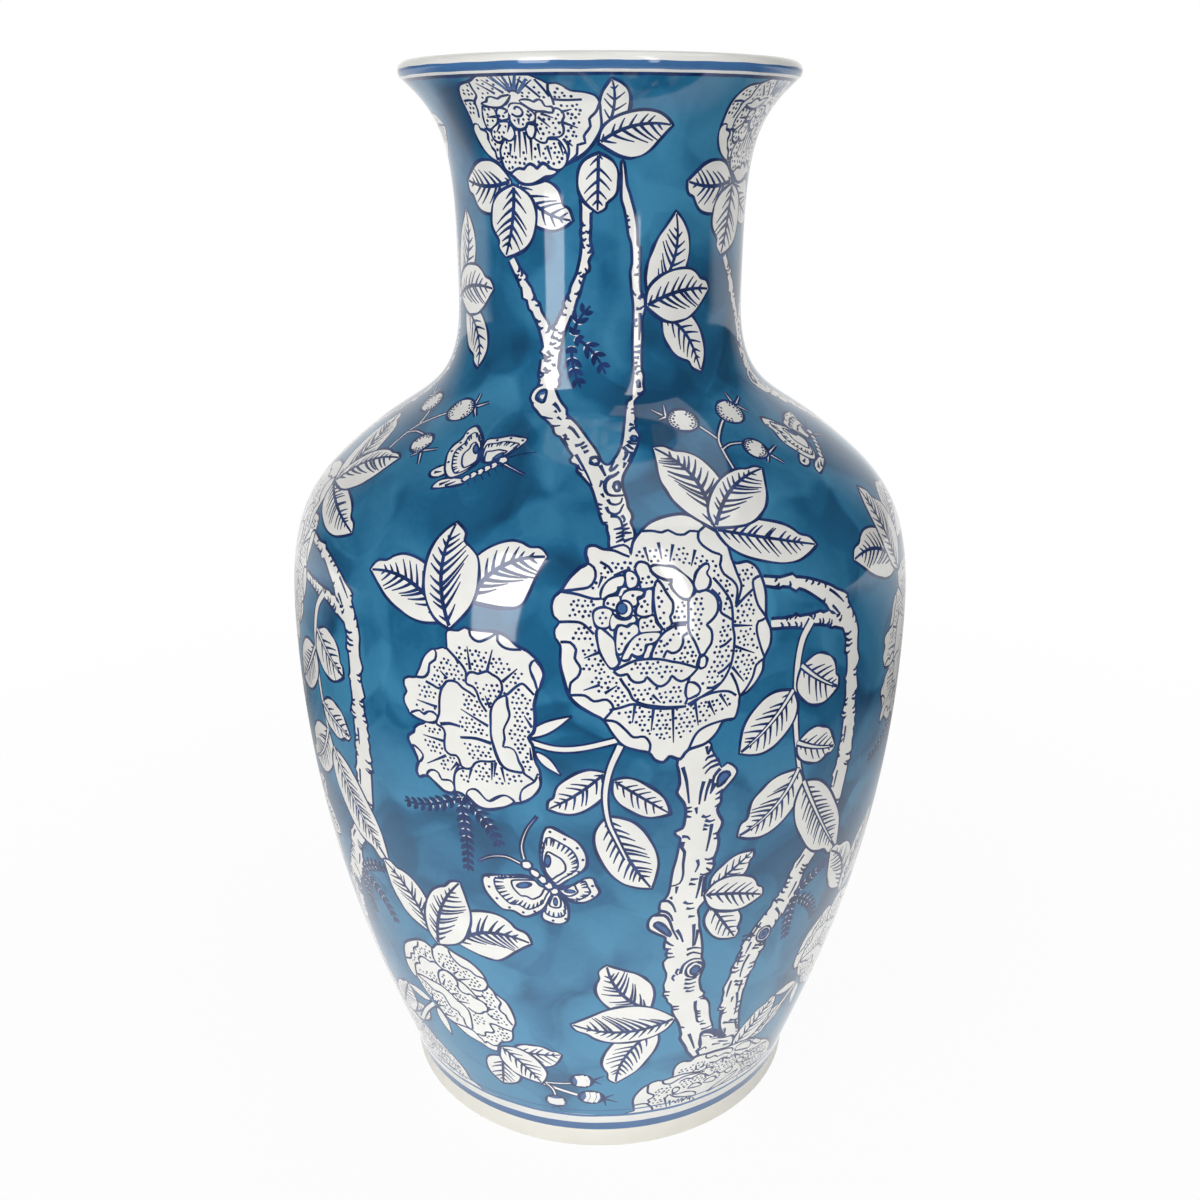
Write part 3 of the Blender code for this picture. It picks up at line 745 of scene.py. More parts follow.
    plain = (
        ((-38.5, 429.3), (-37, 429.9), (-36, 430.2), (-35, 431.6), (-33.4, 431.9), (-31.5, 431.1),
         (-30, 431.9), (-28, 432.3), (-26.6, 432.4), (-28.3, 430), (-30, 428.7), (-32, 427.9), (-34, 427.8),
         (-36.5, 428.3)),
        ((-24.3, 430.3), (-22.5, 430.7), (-20.8, 430.4), (-19.8, 429.8), (-18.4, 430.6), (-17.2, 430.1),
         (-16.6, 428.2), (-15.2, 428), (-14.3, 427.7), (-14.6, 425.8), (-17, 426.1), (-19.3, 426.3),
         (-21.5, 427.2), (-23.4, 428.8)),
        ((-46.2, 421.4), (-45, 422.2), (-43.6, 421.8), (-43.2, 420.4), (-41.4, 419.9), (-40.5, 418.6),
         (-40.9, 416.9), (-40.2, 416), (-40, 414), (-38.6, 412.7), (-38.4, 410.6), (-37, 409.3),
         (-39.5, 409.8), (-42, 411.3), (-44.4, 413.6), (-46, 416.5), (-46.7, 419.5)),
        ((-32.7, 405.4), (-31, 406.7), (-29, 407.3), (-27.3, 407), (-26.2, 408), (-24.8, 408.7),
         (-23.2, 408.1), (-22.2, 407.2), (-21, 408.2), (-19.8, 408.9), (-18.4, 408.2), (-17.8, 407.3),
         (-15.3, 406.8), (-15.2, 405.8), (-17, 405), (-19.2, 404.8), (-21.5, 403.4), (-24, 402.3),
         (-27, 402.1), (-29.5, 402.8), (-31.5, 404.3)))
    cells = (
        ((-36.3, 413.5), (-35, 415.4), (-32, 418), (-28.4, 420), (-24.4, 420), (-20, 418), (-16.5, 417),
         (-14, 416.8), (-12.3, 414.7), (-11.2, 412), (-11.5, 409.2), (-13, 407.4), (-14.8, 406.9),
         (-17, 407.4), (-18.5, 408.6), (-19.9, 409.1), (-21, 408.5), (-22.2, 407.5), (-23.3, 408.5),
         (-24.8, 409), (-26.3, 408.3), (-27.4, 407.4), (-29, 407.6), (-30.8, 407), (-32.4, 405.9),
         (-34.5, 406.3), (-35.8, 408), (-36.4, 411)),
        ((-41, 420.5), (-38.8, 419.5), (-38.6, 417.3), (-37, 415.8), (-35.2, 415.3), (-36.3, 413.3),
         (-36.6, 410.5), (-38.2, 410.8), (-38.5, 412.8), (-39.8, 414.2), (-40.7, 416.5), (-40.4, 418.6)),
        ((-39.8, 420.4), (-40.3, 423), (-39.8, 425.5), (-38.6, 428.2), (-36.8, 428.2), (-34.6, 427.6),
         (-34.1, 426), (-34.1, 424.2), (-35.5, 421.5), (-37.7, 420.3)),
        ((-38.7, 418.5), (-37.7, 420.5), (-35.5, 421.8), (-33.9, 423), (-31, 422.9), (-29.8, 421.8),
         (-29, 420), (-29.2, 418), (-30.4, 416.7), (-32, 416.3), (-33.6, 417), (-35, 416.1), (-36.8, 415.9),
         (-38.2, 417)),
        ((-34, 424.3), (-34, 426), (-33, 427.3), (-31.5, 427.7), (-29.8, 427), (-28.9, 425.6),
         (-29.9, 423.9), (-31.4, 423.3), (-33, 423.3)),
        ((-20.4, 424.8), (-19.6, 426.2), (-17, 426.1), (-14.6, 425.8), (-13.9, 427.3), (-12.6, 427.2),
         (-11.4, 426), (-11.1, 424.3), (-12, 422.6), (-11.6, 420.7), (-11.9, 418.7), (-13.5, 417.6),
         (-15.5, 417.6), (-17.2, 417.3), (-17.9, 415.9), (-19.5, 415.7), (-21.1, 416.5), (-22, 417.5),
         (-21.2, 419.6), (-21.3, 421.5), (-20.9, 423)),
        ((-24.4, 420.9), (-23.4, 421.9), (-22, 421.9), (-21.2, 421.3), (-21.3, 419.6), (-22.1, 417.6),
         (-23.3, 417.1), (-24.3, 417.9), (-24.6, 419.4)),
        ((-29.8, 423.5), (-29, 426), (-28.6, 428), (-27.5, 429.2), (-25.5, 429.3), (-23.8, 428.8),
         (-21.8, 427), (-20.5, 425.5), (-20.4, 424), (-21.3, 422.7), (-22.4, 422.6), (-23.6, 422.2),
         (-24.2, 421), (-25.8, 420.1), (-27.8, 420.2), (-29.2, 421.6)))
    strokes = (
        ((-26.2, 433.4), (-31.2, 440)), ((-25.8, 433.6), (-28.4, 440.2)), ((-25.3, 433.6), (-24.4, 440.4)),
        ((-24.8, 433.4), (-21.2, 439.8)), ((-24.3, 433), (-18.4, 438.4)), ((-28.5, 433.2), (-33.8, 438.8)),
        ((-31.5, 433), (-36.2, 437.4)), ((-27.2, 419.6), (-28.4, 410.8)), ((-28.9, 418.4), (-30.4, 412.6)),
        ((-25.4, 419.4), (-25.6, 412)), ((-23.4, 417), (-23.9, 410)), ((-31.4, 415.5), (-32.4, 411.2)),
        ((-21, 415.5), (-20.6, 411)), ((-17.8, 414.8), (-16.6, 410.2)), ((-13.6, 416), (-12.4, 411.6)),
        ((-11.8, 422.5), (-7, 420.6)), ((-12, 426), (-8.5, 427)), ((-11, 416.2), (-9, 414.6)),
        ((-33.8, 422), (-36.2, 419.2)), ((-30.2, 422), (-31.8, 419.2)), ((-34.6, 424.6), (-38.4, 424.4)),
        ((-19.6, 424.4), (-16, 420.8)), ((-21.2, 421.8), (-19.9, 418.4)), ((-18.5, 425.6), (-14.6, 424)),
        ((-22, 424.3), (-24, 426)), ((-26.4, 424), (-26.7, 421.8)), ((-29.2, 426.8), (-31.2, 425.6)))
    fields = (
        ((-46, 425), (-45.5, 431), (-43.5, 435.5), (-39.5, 437.5), (-39.5, 430), (-41.5, 424.5)),
        ((-37.5, 430.5), (-37.5, 437.5), (-33, 440.5), (-20, 440.5), (-15.5, 437), (-15, 430), (-17.5, 431),
         (-24, 432), (-26.5, 434), (-30, 432.5), (-34, 431.5)),
        ((-14, 434), (-12, 435.8), (-9, 433), (-5.5, 431), (-5, 427), (-6, 422), (-7, 418.5), (-9.5, 415),
         (-11, 417.5), (-11, 421), (-10.6, 426), (-13, 430)))
    b.flower(silhouette, edges, plain, cells, strokes, fields, 0.8)
    b.dashes(((-27, 434.2), (-30.4, 440.5)), ((-24.8, 434.5), (-22.6, 440.5)),
             ((-23.8, 433.2), (-19.8, 438.8)), ((-25.9, 434.6), (-26.6, 440.6)), first=1.3, last=1.0,
             paint="mid")
    b.lay("reserve", b.oval((-26.2, 426.3), 3.4, 2.4))
    b.stroke((-27, 427), (-26.2, 428), (-24.9, 427.6), (-24.3, 426), (-25.2, 424.8), (-27, 424.6),
             (-28.4, 425.6),
             first=0.9, last=0.9)


def paint_shoulder(b):
    """Berries, butterfly and broad leaves of the shoulder."""
    b.stem((30.7, 293), (30.8, 300), (31.4, 306), (33, 310), (37, 315.5), (40, 318), width=0.8)
    b.stem((31.6, 308.5), (30.6, 311.5), (29, 315), width=0.8)
    b.stem((31.2, 303), (34, 304.8), (38, 304.6), width=0.6)
    b.berry((24.8, 318.8), 5.8, 5.3, 175,
            (((20, 321), (16, 324.5)), ((20, 321.5), (20.5, 326)), ((20, 321), (17.5, 320))))
    b.berry((42.8, 319.6), 6.1, 5.6, 10,
            (((47.5, 322), (52, 325)), ((47, 322.5), (46.5, 328)), ((47.5, 322), (50.5, 318))))
    b.berry((40.6, 301), 5, 4.9, -50,
            (((43, 297.5), (45.5, 292)), ((43, 297.5), (47.5, 300)), ((43, 297.5), (41, 294))))
    b.leaf((20.8, 271), (40.5, 259), 7, 8.5, 0, LEFT)
    b.leaf((20.5, 271.5), (13, 307), 12, 9, -6, RIGHT)
    b.leaf((21, 271.5), (38.3, 292), 5.5, 13, 5, LEFT)

    # Butterfly seen from its side
    b.stroke((-22.6, 300), (-20, 302.5), (-15.5, 304.5), first=1.0, last=0.5)
    b.stem((-23, 298.5), (-20, 296.5), (-16.5, 294), width=0.6, end=0.2)
    b.petal((-39.5, 290), (-38, 293), (-36, 294), (-35, 291), (-36.5, 288.5), (-38.5, 288))
    b.petal((-36.3, 283.5), (-35.8, 287), (-33, 289.5), (-30, 289.5), (-29.5, 287.5), (-33, 285))
    b.dashes(((-38.3, 290), (-36.5, 291)), ((-35, 285.5), (-33, 288)), ((-33.5, 285.5), (-31.5, 288)),
             first=1.4)
    b.wing((-26.5, 297), ((-30.2, 308), (-27.3, 309.6), (-24.4, 311.3), (-21.6, 311.2), (-19, 310.2),
                          (-20.8, 305),
           (-22.7, 301.5), (-25, 298.5), (-27.8, 298), (-29.5, 302)))
    b.wing((-29.5, 298.5), ((-36.8, 313.8), (-34.3, 312), (-31.5, 308), (-29.6, 302.5), (-28.8, 297.5),
                            (-30, 293.5),
           (-32, 290), (-33.8, 289), (-35.8, 291.5), (-37.2, 295), (-38.5, 299.2), (-38.7, 303),
           (-37.8, 306.7), (-38.3, 310.8)))
    for step in range(6):
        share_along = step / 5
        spot = (-23.3 - 6.2 * share_along, 298.5 - 8.5 * share_along)
        b.outlined(b.oval(spot, 1.7, 1.3, 55), line=0.8)
        b.stroke((spot[0] + 0.6, spot[1] - 1.2), (spot[0] + 1.7, spot[1] - 3.2), first=0.6, last=0.3)
    b.outlined(b.oval((-22.8, 299.6), 1.8, 1.6), line=0.9)


def paint_body_left(b):
    """Side peony, its leaves and ferns."""
    b.fern((-23, 174.5), (-34.5, 166), 2)
    b.fern((-23, 174), (-22.8, 143), 1)
    b.fern((-22.5, 174), (-16.5, 156), 2)
    b.leaf((-24.8, 238), (-41.6, 249.5), 10.7, 8.5, -5.7, RIGHT)
    b.leaf((-21, 246), (-8.6, 263), 8.5, 14.5, 5, LEFT)
    b.leaf((-23.8, 236), (-26.7, 272.5), 6.6, 14, 3, RIGHT)
    b.blade((-11.5, 201), (-4.2, 209.8), 4.2)
    b.blade((-10, 196), (-6, 187.5), 3.4)
    b.stem((-11, 199.5), (-7, 197.5), (-3, 198), (2.5, 201), width=1.8)

    silhouette = (
        (-24.3, 235.3), (-22.4, 235.9), (-21.4, 237.3), (-20.4, 236.9), (-18.5, 237), (-15.8, 237),
        (-14, 235.5), (-12.6, 233), (-11.2, 231.8), (-10.2, 230.2), (-9.6, 229), (-8.9, 227), (-8.5, 223.8),
        (-8.9, 220.5), (-9.5, 218), (-9.7, 216), (-10, 213), (-9.9, 210), (-9.9, 206.5), (-10.2, 203),
        (-11, 201), (-10.4, 198.5), (-10.2, 196), (-10.1, 193.5), (-9.8, 191.3), (-9.4, 189.5),
        (-9.2, 186.5), (-9.3, 183), (-10, 180), (-11.4, 177), (-12.6, 175.6), (-13.8, 175), (-15.6, 173),
        (-17.8, 171.2), (-19.8, 171.7), (-21.4, 174), (-22.6, 175.6), (-23.8, 175.8), (-24.6, 174.8),
        (-25.9, 175), (-27.2, 177), (-28.4, 179.3), (-29.6, 179.3), (-30.6, 178.3), (-31.1, 180.3),
        (-30.8, 183), (-30.5, 184.5), (-31, 187), (-31.7, 189.5), (-32.3, 192), (-32.1, 194), (-31, 195.8),
        (-30.8, 197.5), (-29.8, 199.3), (-28.6, 200.6), (-30.4, 201.2), (-31.6, 202.3), (-31.9, 203.6),
        (-32.6, 206), (-32.6, 208.5), (-32, 210.6), (-32.5, 212.6), (-32.4, 215), (-31.4, 216.2),
        (-30, 216.8), (-29.4, 219.5), (-28.9, 223), (-28, 226), (-27, 228), (-26, 228.4), (-25, 229.3),
        (-24.3, 229), (-24.4, 232))
    edges = (
        ((-20.5, 236.7), (-20.3, 234.8), (-19.5, 233.4), (-18.6, 233.2), (-17.6, 234.3), (-16.6, 235.6),
         (-16, 236.8)),
        ((-15.8, 236.6), (-15.8, 234.2), (-15, 232.4), (-13.8, 231.7), (-12, 231.9)),
        ((-24.3, 229.2), (-23.2, 227.3), (-22.2, 225.4), (-21.4, 223.6), (-20.9, 221.5), (-21, 218.5),
         (-20.5, 217.6), (-19.8, 217.2), (-19.2, 215.6), (-18.6, 212), (-17.6, 208.8)),
        ((-20.9, 220.6), (-20.4, 222), (-19.6, 222.3), (-19, 222), (-18.2, 222.7), (-17.4, 223.3),
         (-16.6, 222.4), (-15.8, 221.6), (-15.2, 220.2), (-15, 217.5), (-15.4, 215.3), (-16.2, 213),
         (-16.8, 210.4)),
        ((-14.8, 216.5), (-14.2, 216), (-13.2, 218.2), (-12.2, 220), (-11.6, 220.1), (-10.9, 218.7),
         (-10, 216.6)),
        ((-28.2, 216), (-26.9, 215.2), (-25.8, 214.4), (-25, 215.6), (-24.4, 217.4), (-23.4, 218.1),
         (-22.4, 217.7), (-21.6, 216.2), (-20.4, 215), (-19.4, 213.6)),
        ((-24.4, 217.4), (-25.3, 214.4), (-25.7, 211), (-25.8, 208), (-25.9, 205), (-26.4, 202.5),
         (-26.4, 200.8), (-25.4, 200), (-25, 198), (-25.2, 195), (-25.1, 191.6), (-24.2, 190.2),
         (-23.2, 190.4), (-22.7, 189), (-22.4, 186.8), (-21.6, 186), (-20.6, 186.6), (-20, 188.6),
         (-19, 189.9), (-17.6, 190.2), (-16.4, 190.8)),
        ((-23.9, 176), (-23.9, 180), (-23.6, 183.4), (-22.8, 185.4), (-21.8, 186)),
        ((-12.6, 191.4), (-12.1, 189), (-11.8, 187.2), (-11, 186), (-10.3, 184.8)))
    plain = (
        ((-14.4, 215.4), (-15.4, 214.6), (-16.3, 212.6), (-16.9, 209.5), (-17, 205), (-17, 200),
         (-16.6, 196), (-16.2, 193), (-15.6, 190), (-14.6, 188.2), (-13, 187.6), (-12, 187.8),
         (-12.1, 189.6), (-12.6, 191.6), (-12.9, 194), (-13.4, 196), (-14.4, 196.7), (-15.1, 196.6),
         (-14.8, 199.5), (-14.9, 203), (-14.4, 205.6), (-13.9, 208.4), (-14.2, 212)),
        ((-10.6, 226.8), (-10, 228.6), (-9.3, 227.6), (-8.6, 224.6), (-8.8, 221), (-9.4, 218.4),
         (-9.9, 221.6), (-10.5, 224.6)),
        ((-30, 217.2), (-29.3, 220.5), (-28.7, 223.8), (-27.8, 226.6), (-26.8, 228.1), (-26.2, 227),
         (-26.4, 224.4), (-27.4, 222.6), (-27.6, 219.6), (-28.3, 217.6), (-29.2, 217)),
        ((-31.4, 202.4), (-30.6, 203.8), (-29.6, 204.5), (-28.8, 203.6), (-28, 204.9), (-27, 205.1),
         (-26.3, 203.8), (-26.6, 201.6), (-28, 200.8), (-29.6, 201.1)),
        ((-31.4, 190.4), (-30.4, 189.6), (-29.5, 187.6), (-29.8, 185.6), (-30.5, 184.3), (-30.7, 186.4),
         (-31.2, 188.6)),
        ((-29, 180.2), (-28.4, 182), (-27.5, 182.6), (-26.7, 181.8), (-26.2, 179.6), (-25, 180),
         (-24.2, 179.4), (-23.9, 177), (-24.4, 175.2), (-25.8, 175.2), (-27.2, 177.3), (-28.5, 179.2)),
        ((-21.8, 176), (-21.2, 177.9), (-20.2, 178.5), (-19.4, 177.4), (-18.6, 175.4), (-17.8, 174.7),
         (-16.9, 176), (-15.8, 177.5), (-14.8, 177.8), (-13.8, 176.4), (-13.8, 175.2), (-15.6, 173),
         (-17.8, 171.4), (-19.8, 171.9), (-21.2, 174.2)),
        ((-12.5, 176), (-12.6, 178.6), (-12.2, 181), (-11.2, 183), (-10.2, 184.6), (-9.6, 187.5),
         (-9.3, 186), (-9.3, 183), (-10, 180), (-11.2, 177.4)))
    strokes = (
        ((-20.2, 223), (-20.8, 231)), ((-17.4, 223.6), (-16.6, 231)), ((-15, 220.2), (-12.6, 225.3)),
        ((-24.2, 218.6), (-25.5, 221)), ((-17, 210.4), (-17.8, 214.6)), ((-17.4, 203.6), (-22, 208.4)),
        ((-26.2, 207.4), (-30, 208.4)), ((-25.4, 195), (-29.2, 195.6)), ((-25, 189.6), (-28.8, 184.6)),
        ((-10.4, 204.8), (-11.6, 209)), ((-20.6, 186.4), (-21.2, 182)), ((-17, 190), (-17.2, 183.2)),
        ((-16.4, 190.4), (-16.8, 184.6)), ((-15.5, 188.8), (-15, 183)), ((-23, 187.8), (-24.4, 184)),
        ((-22.7, 187.2), (-23.7, 183.8)), ((-22.2, 224.6), (-23, 226.8)), ((-10.6, 192.6), (-10.8, 197.4)))
    fields = (
        ((-23.4, 229), (-21.5, 231), (-18, 231), (-14, 227), (-13, 224), (-16, 221.5), (-19, 222.6),
         (-20.6, 221.5), (-22.4, 226)),
        ((-26.3, 224), (-24, 226.5), (-22, 223.5), (-21, 220), (-21.8, 217.6), (-24, 219), (-25.4, 215.5),
         (-27.4, 216.5), (-26.8, 220)),
        ((-14.6, 219), (-13, 224.5), (-11.5, 224), (-12.4, 220.3), (-13.6, 217)),
        ((-19.4, 218.6), (-15.2, 219), (-15.3, 215.4), (-16.6, 211), (-17.2, 208.5), (-18.4, 212),
         (-19.2, 216)),
        ((-21.6, 214.5), (-19.4, 213.4), (-17.4, 207.8), (-17.2, 199), (-20, 198.8), (-22.4, 200.4),
         (-22.6, 206), (-21.4, 209)),
        ((-22, 197), (-17.2, 197), (-16.6, 191.4), (-20.4, 190.4), (-22, 194)),
        ((-29.8, 214.5), (-26.4, 214), (-26, 209.6), (-29.6, 209)),
        ((-30.6, 206.4), (-26.4, 207), (-26.4, 205.4), (-29.6, 205)),
        ((-29.4, 200), (-25.6, 199.6), (-25.4, 195.6), (-28.8, 196)),
        ((-29.2, 194), (-25.4, 194.6), (-25.2, 190.4), (-28.6, 188.4)),
        ((-27, 186.6), (-24.6, 189.6), (-23.4, 189.4), (-24, 185), (-25.4, 182.6)),
        ((-13.6, 217), (-12, 219), (-10.3, 215), (-10.2, 206), (-11, 201), (-11.4, 197), (-12.4, 195),
         (-13.8, 197.6), (-14, 203), (-13, 207), (-13.4, 212)),
        ((-12.4, 194), (-10.4, 197), (-10.2, 190), (-11.2, 187)),
        ((-23.4, 184.4), (-21, 186), (-20.6, 181.6), (-22.6, 179.6)),
        ((-20.2, 187.4), (-18.6, 189.4), (-16, 189.6), (-12.8, 187), (-11, 185), (-13, 183), (-16, 181),
         (-20.2, 182)))
    b.flower(silhouette, edges, plain, (), strokes, fields, 0.85)
    b.dashes(((-25.8, 201.2), (-24, 202.2), (-22.2, 201.8)), ((-17, 197.3), (-19.6, 198.3), (-22.3, 197.7)),
             first=1.4, last=1.0)


def paint_lower_left(b):
    """Lower peony with its leaves, hips and the spray beside the trunk."""
    b.leaf((-34, 106), (-43, 133.3), 10.5, 7.5, -4.5, RIGHT)
    b.leaf((-27.5, 105.5), (-12.2, 113.5), 10, 13.5, 6, LEFT)
    b.leaf((-32.3, 101), (-24.7, 136.8), 6.5, 13, 3.5, LEFT)
    b.stem((-39.5, 61), (-44, 52), (-48.5, 41), width=1.8)
    b.blade((-40, 62), (-48.5, 63.5), 5)
    b.blade((-38.8, 60), (-37, 44), 5)
    b.stem((-14.5, 31), (-11, 28.5), (-5, 24.5), width=1.5)
    b.stem((-13.5, 31.5), (-10, 32), (-6.5, 33), width=0.8)
    b.stem((-13, 31), (-11.5, 27), (-11, 21), width=0.8)
    b.hip((-4.3, 35), 4.6, 4.6, 5, (((-1.5, 36), (1, 39)), ((-1.5, 35), (0.5, 33))))
    b.hip((-2.2, 23.5), 5.2, 4.6, -8,
          (((1, 22.5), (4.5, 19.5)), ((1, 23), (3.5, 25.5)), ((1, 22), (1.5, 17))))
    b.hip((-11.2, 18.8), 4, 4.2, -88, (((-11, 15), (-10, 12)), ((-11.5, 15), (-12.5, 12.5))))
    b.leaf((-19.8, 50.5), (-8.3, 52), 5.5, 8.5, -1, LEFT)
    b.leaf((-22.8, 43.5), (-25, 23), 8, 7.5)
    b.leaf((-22.7, 50), (-14, 30), 8, 8.5, 1.5)

    silhouette = (
        (-44.8, 80.5), (-43.5, 90), (-41, 95), (-38, 98.5), (-36, 99), (-34.3, 97.5), (-33.3, 100),
        (-31.3, 101.5), (-28.7, 99.5), (-25.3, 97), (-23, 92), (-22.3, 86.5), (-20.7, 82.5), (-19, 79.5),
        (-18, 74), (-17.7, 68), (-18.7, 63), (-19, 58), (-20, 55), (-22.2, 53), (-23.3, 49.5), (-23.9, 46),
        (-26, 46), (-28, 48), (-31.3, 49.8), (-34, 53.5), (-36.4, 56), (-37.5, 59.5), (-38.7, 62.5),
        (-41, 67), (-42.3, 72.5), (-43.6, 73), (-44.6, 76))
    edges = (
        ((-44.4, 82), (-42.5, 83.8), (-42, 85.8), (-41.7, 87.3), (-40.7, 88.1), (-40.3, 91.5), (-38.8, 94),
         (-38.3, 97)),
        ((-41.6, 81.3), (-40.6, 83.2), (-39.7, 83.8), (-39.7, 86.3), (-38.7, 88.7), (-37.3, 89),
         (-36.2, 88.3), (-35, 89.4), (-34, 88.4), (-33, 87.3)),
        ((-41.6, 81.3), (-41.9, 79), (-42.2, 76.3), (-42.5, 73)),
        ((-42, 75.5), (-40.5, 76.5), (-38, 76.7), (-35, 76.4), (-33.3, 74.8), (-32.2, 73.2), (-31.5, 71.5),
         (-30.3, 70.2), (-29.5, 69), (-28.9, 67.3), (-28.7, 64.5), (-28.8, 61), (-29, 58), (-29.3, 55.3)),
        ((-41.8, 75), (-40.6, 73.7), (-39.3, 73), (-38.5, 71.7), (-37.3, 70.8), (-36, 71.3), (-35, 70.6),
         (-34.7, 69), (-34.3, 67), (-33.8, 64.7), (-32.6, 64.2), (-31.9, 63.5), (-31.8, 61.8), (-31, 60.7),
         (-31, 58), (-30.7, 56), (-29.5, 55.1)),
        ((-36.3, 56), (-34.5, 54.7), (-32.5, 54.9), (-30.8, 55.2), (-29, 54.3), (-28.1, 52.3),
         (-27.2, 50.5), (-26.8, 48.5)),
        ((-34.8, 76.8), (-34.9, 80), (-34.7, 83), (-34, 85.5), (-33, 86.8), (-32, 87), (-31, 86),
         (-30.2, 84.5), (-29.8, 82.5), (-30, 80.5), (-29.8, 78.8), (-29.2, 77.7), (-28, 77.4),
         (-27.4, 78.2), (-26.5, 77.2)),
        ((-29.7, 84.2), (-28.6, 83.7), (-27.5, 82), (-26.5, 79.8), (-25.8, 77.8), (-25.2, 76.5)),
        ((-26.8, 77.2), (-25.8, 76.6), (-24.6, 76), (-23.9, 74.5), (-23.6, 72.5), (-24, 70.5),
         (-24.8, 69.8), (-25.5, 68.3), (-26.7, 67.5), (-27.8, 68), (-28.7, 69.3)),
        ((-34.5, 97), (-34.8, 93), (-34.5, 90), (-33.2, 87.4), (-31.5, 87.2), (-30.2, 86), (-29.6, 84.3)),
        ((-22.4, 86.8), (-23, 84.2), (-24, 82.5), (-25.3, 81.8), (-26.6, 81.9)),
        ((-30.2, 100), (-29.7, 96.5), (-28, 93.3), (-26, 92.4), (-25.2, 91), (-24.5, 90.3), (-23.2, 90),
         (-22.5, 88)),
        ((-21.4, 84), (-21, 81), (-20.2, 78.5), (-20.6, 76.5), (-20.9, 74.5), (-20.5, 72.8), (-19.7, 71.5),
         (-19.4, 69), (-18.5, 66)),
        ((-24, 69.5), (-23.2, 67.8), (-22.3, 67), (-21.5, 67.6)),
        ((-24, 63.4), (-22.6, 63.7), (-21.3, 62.8), (-18.8, 62)),
        ((-24, 63.4), (-23.8, 61), (-23.4, 59.5), (-23.9, 57.7), (-25, 57.3), (-25.9, 56.3), (-26, 54.5),
         (-26.8, 53.5), (-28.2, 53.6)),
        ((-26.6, 49.3), (-26, 50.4), (-25, 49.2), (-24, 49.4), (-23.4, 50.2)))
    strokes = (
        ((-29.5, 84.5), (-26.4, 87.3)), ((-30.3, 87), (-28.8, 89.8)), ((-34.2, 77.2), (-33, 82)),
        ((-32.2, 74), (-30.2, 76)), ((-31.4, 70.8), (-28, 72.2)), ((-39.3, 63.5), (-38.8, 69)),
        ((-38.4, 62.3), (-37.3, 65.5)), ((-38, 61.6), (-35.2, 63.8)), ((-36.8, 57.5), (-33.5, 59)),
        ((-26, 78.2), (-23.2, 79.6)), ((-23.7, 72), (-22, 73.5)), ((-32.8, 88.5), (-32, 92)),
        ((-37, 90), (-36.8, 93.5)))
    fields = (
        ((-43.5, 81), (-41.9, 84.5), (-41, 88), (-40, 91.5), (-36, 97), (-34.5, 96), (-34, 90), (-38, 90),
         (-40.3, 87), (-40.3, 84)),
        ((-41, 80.5), (-39.5, 79.5), (-38, 81), (-36, 82.5), (-35, 82), (-35, 77.5), (-38, 77.5),
         (-41, 78)),
        ((-34.3, 78), (-34, 84), (-32.5, 84.5), (-30.3, 80), (-30, 77.5), (-27.8, 75.5), (-29, 70.5),
         (-31.5, 72.5), (-33.5, 76)),
        ((-34, 91), (-33, 97), (-30, 97), (-28.2, 92), (-25.5, 90.5), (-23.5, 86.5), (-24.5, 82.5),
         (-26.5, 82.5), (-29, 86), (-32, 88.5)),
        ((-25.3, 80.8), (-22.8, 82.5), (-22, 83), (-21.5, 79), (-21.5, 74), (-21, 71), (-19.5, 68),
         (-19.5, 64), (-22, 64.5), (-23.5, 68), (-23.2, 72), (-24.5, 77.5)),
        ((-41.5, 72.5), (-39, 72), (-37.5, 70), (-35.3, 69.5), (-35, 66), (-34, 63.5), (-32.5, 63),
         (-32.3, 61), (-33, 57), (-36, 57), (-38, 62), (-40.5, 67)),
        ((-28.3, 65.5), (-27.5, 67), (-25.5, 67.2), (-25, 64.5), (-26, 60.5), (-28, 60.5)),
        ((-23.5, 58), (-22.8, 63), (-20, 61.5), (-19.8, 56), (-22.5, 53), (-24.5, 52.5), (-25.8, 51.5),
         (-27.3, 52.5), (-25.5, 55.5)))
    b.flower(silhouette, edges, (), (), strokes, fields)

    b.leaf((10, 79), (1.2, 105), 8.5, 11.5, 3.8, LEFT)
    b.leaf((11.7, 68), (3.7, 33.6), 9.5, 8.5, -3.9, RIGHT)
    b.leaf((15.5, 72.4), (-6, 71.9), 6.8, 15, 5, LEFT)


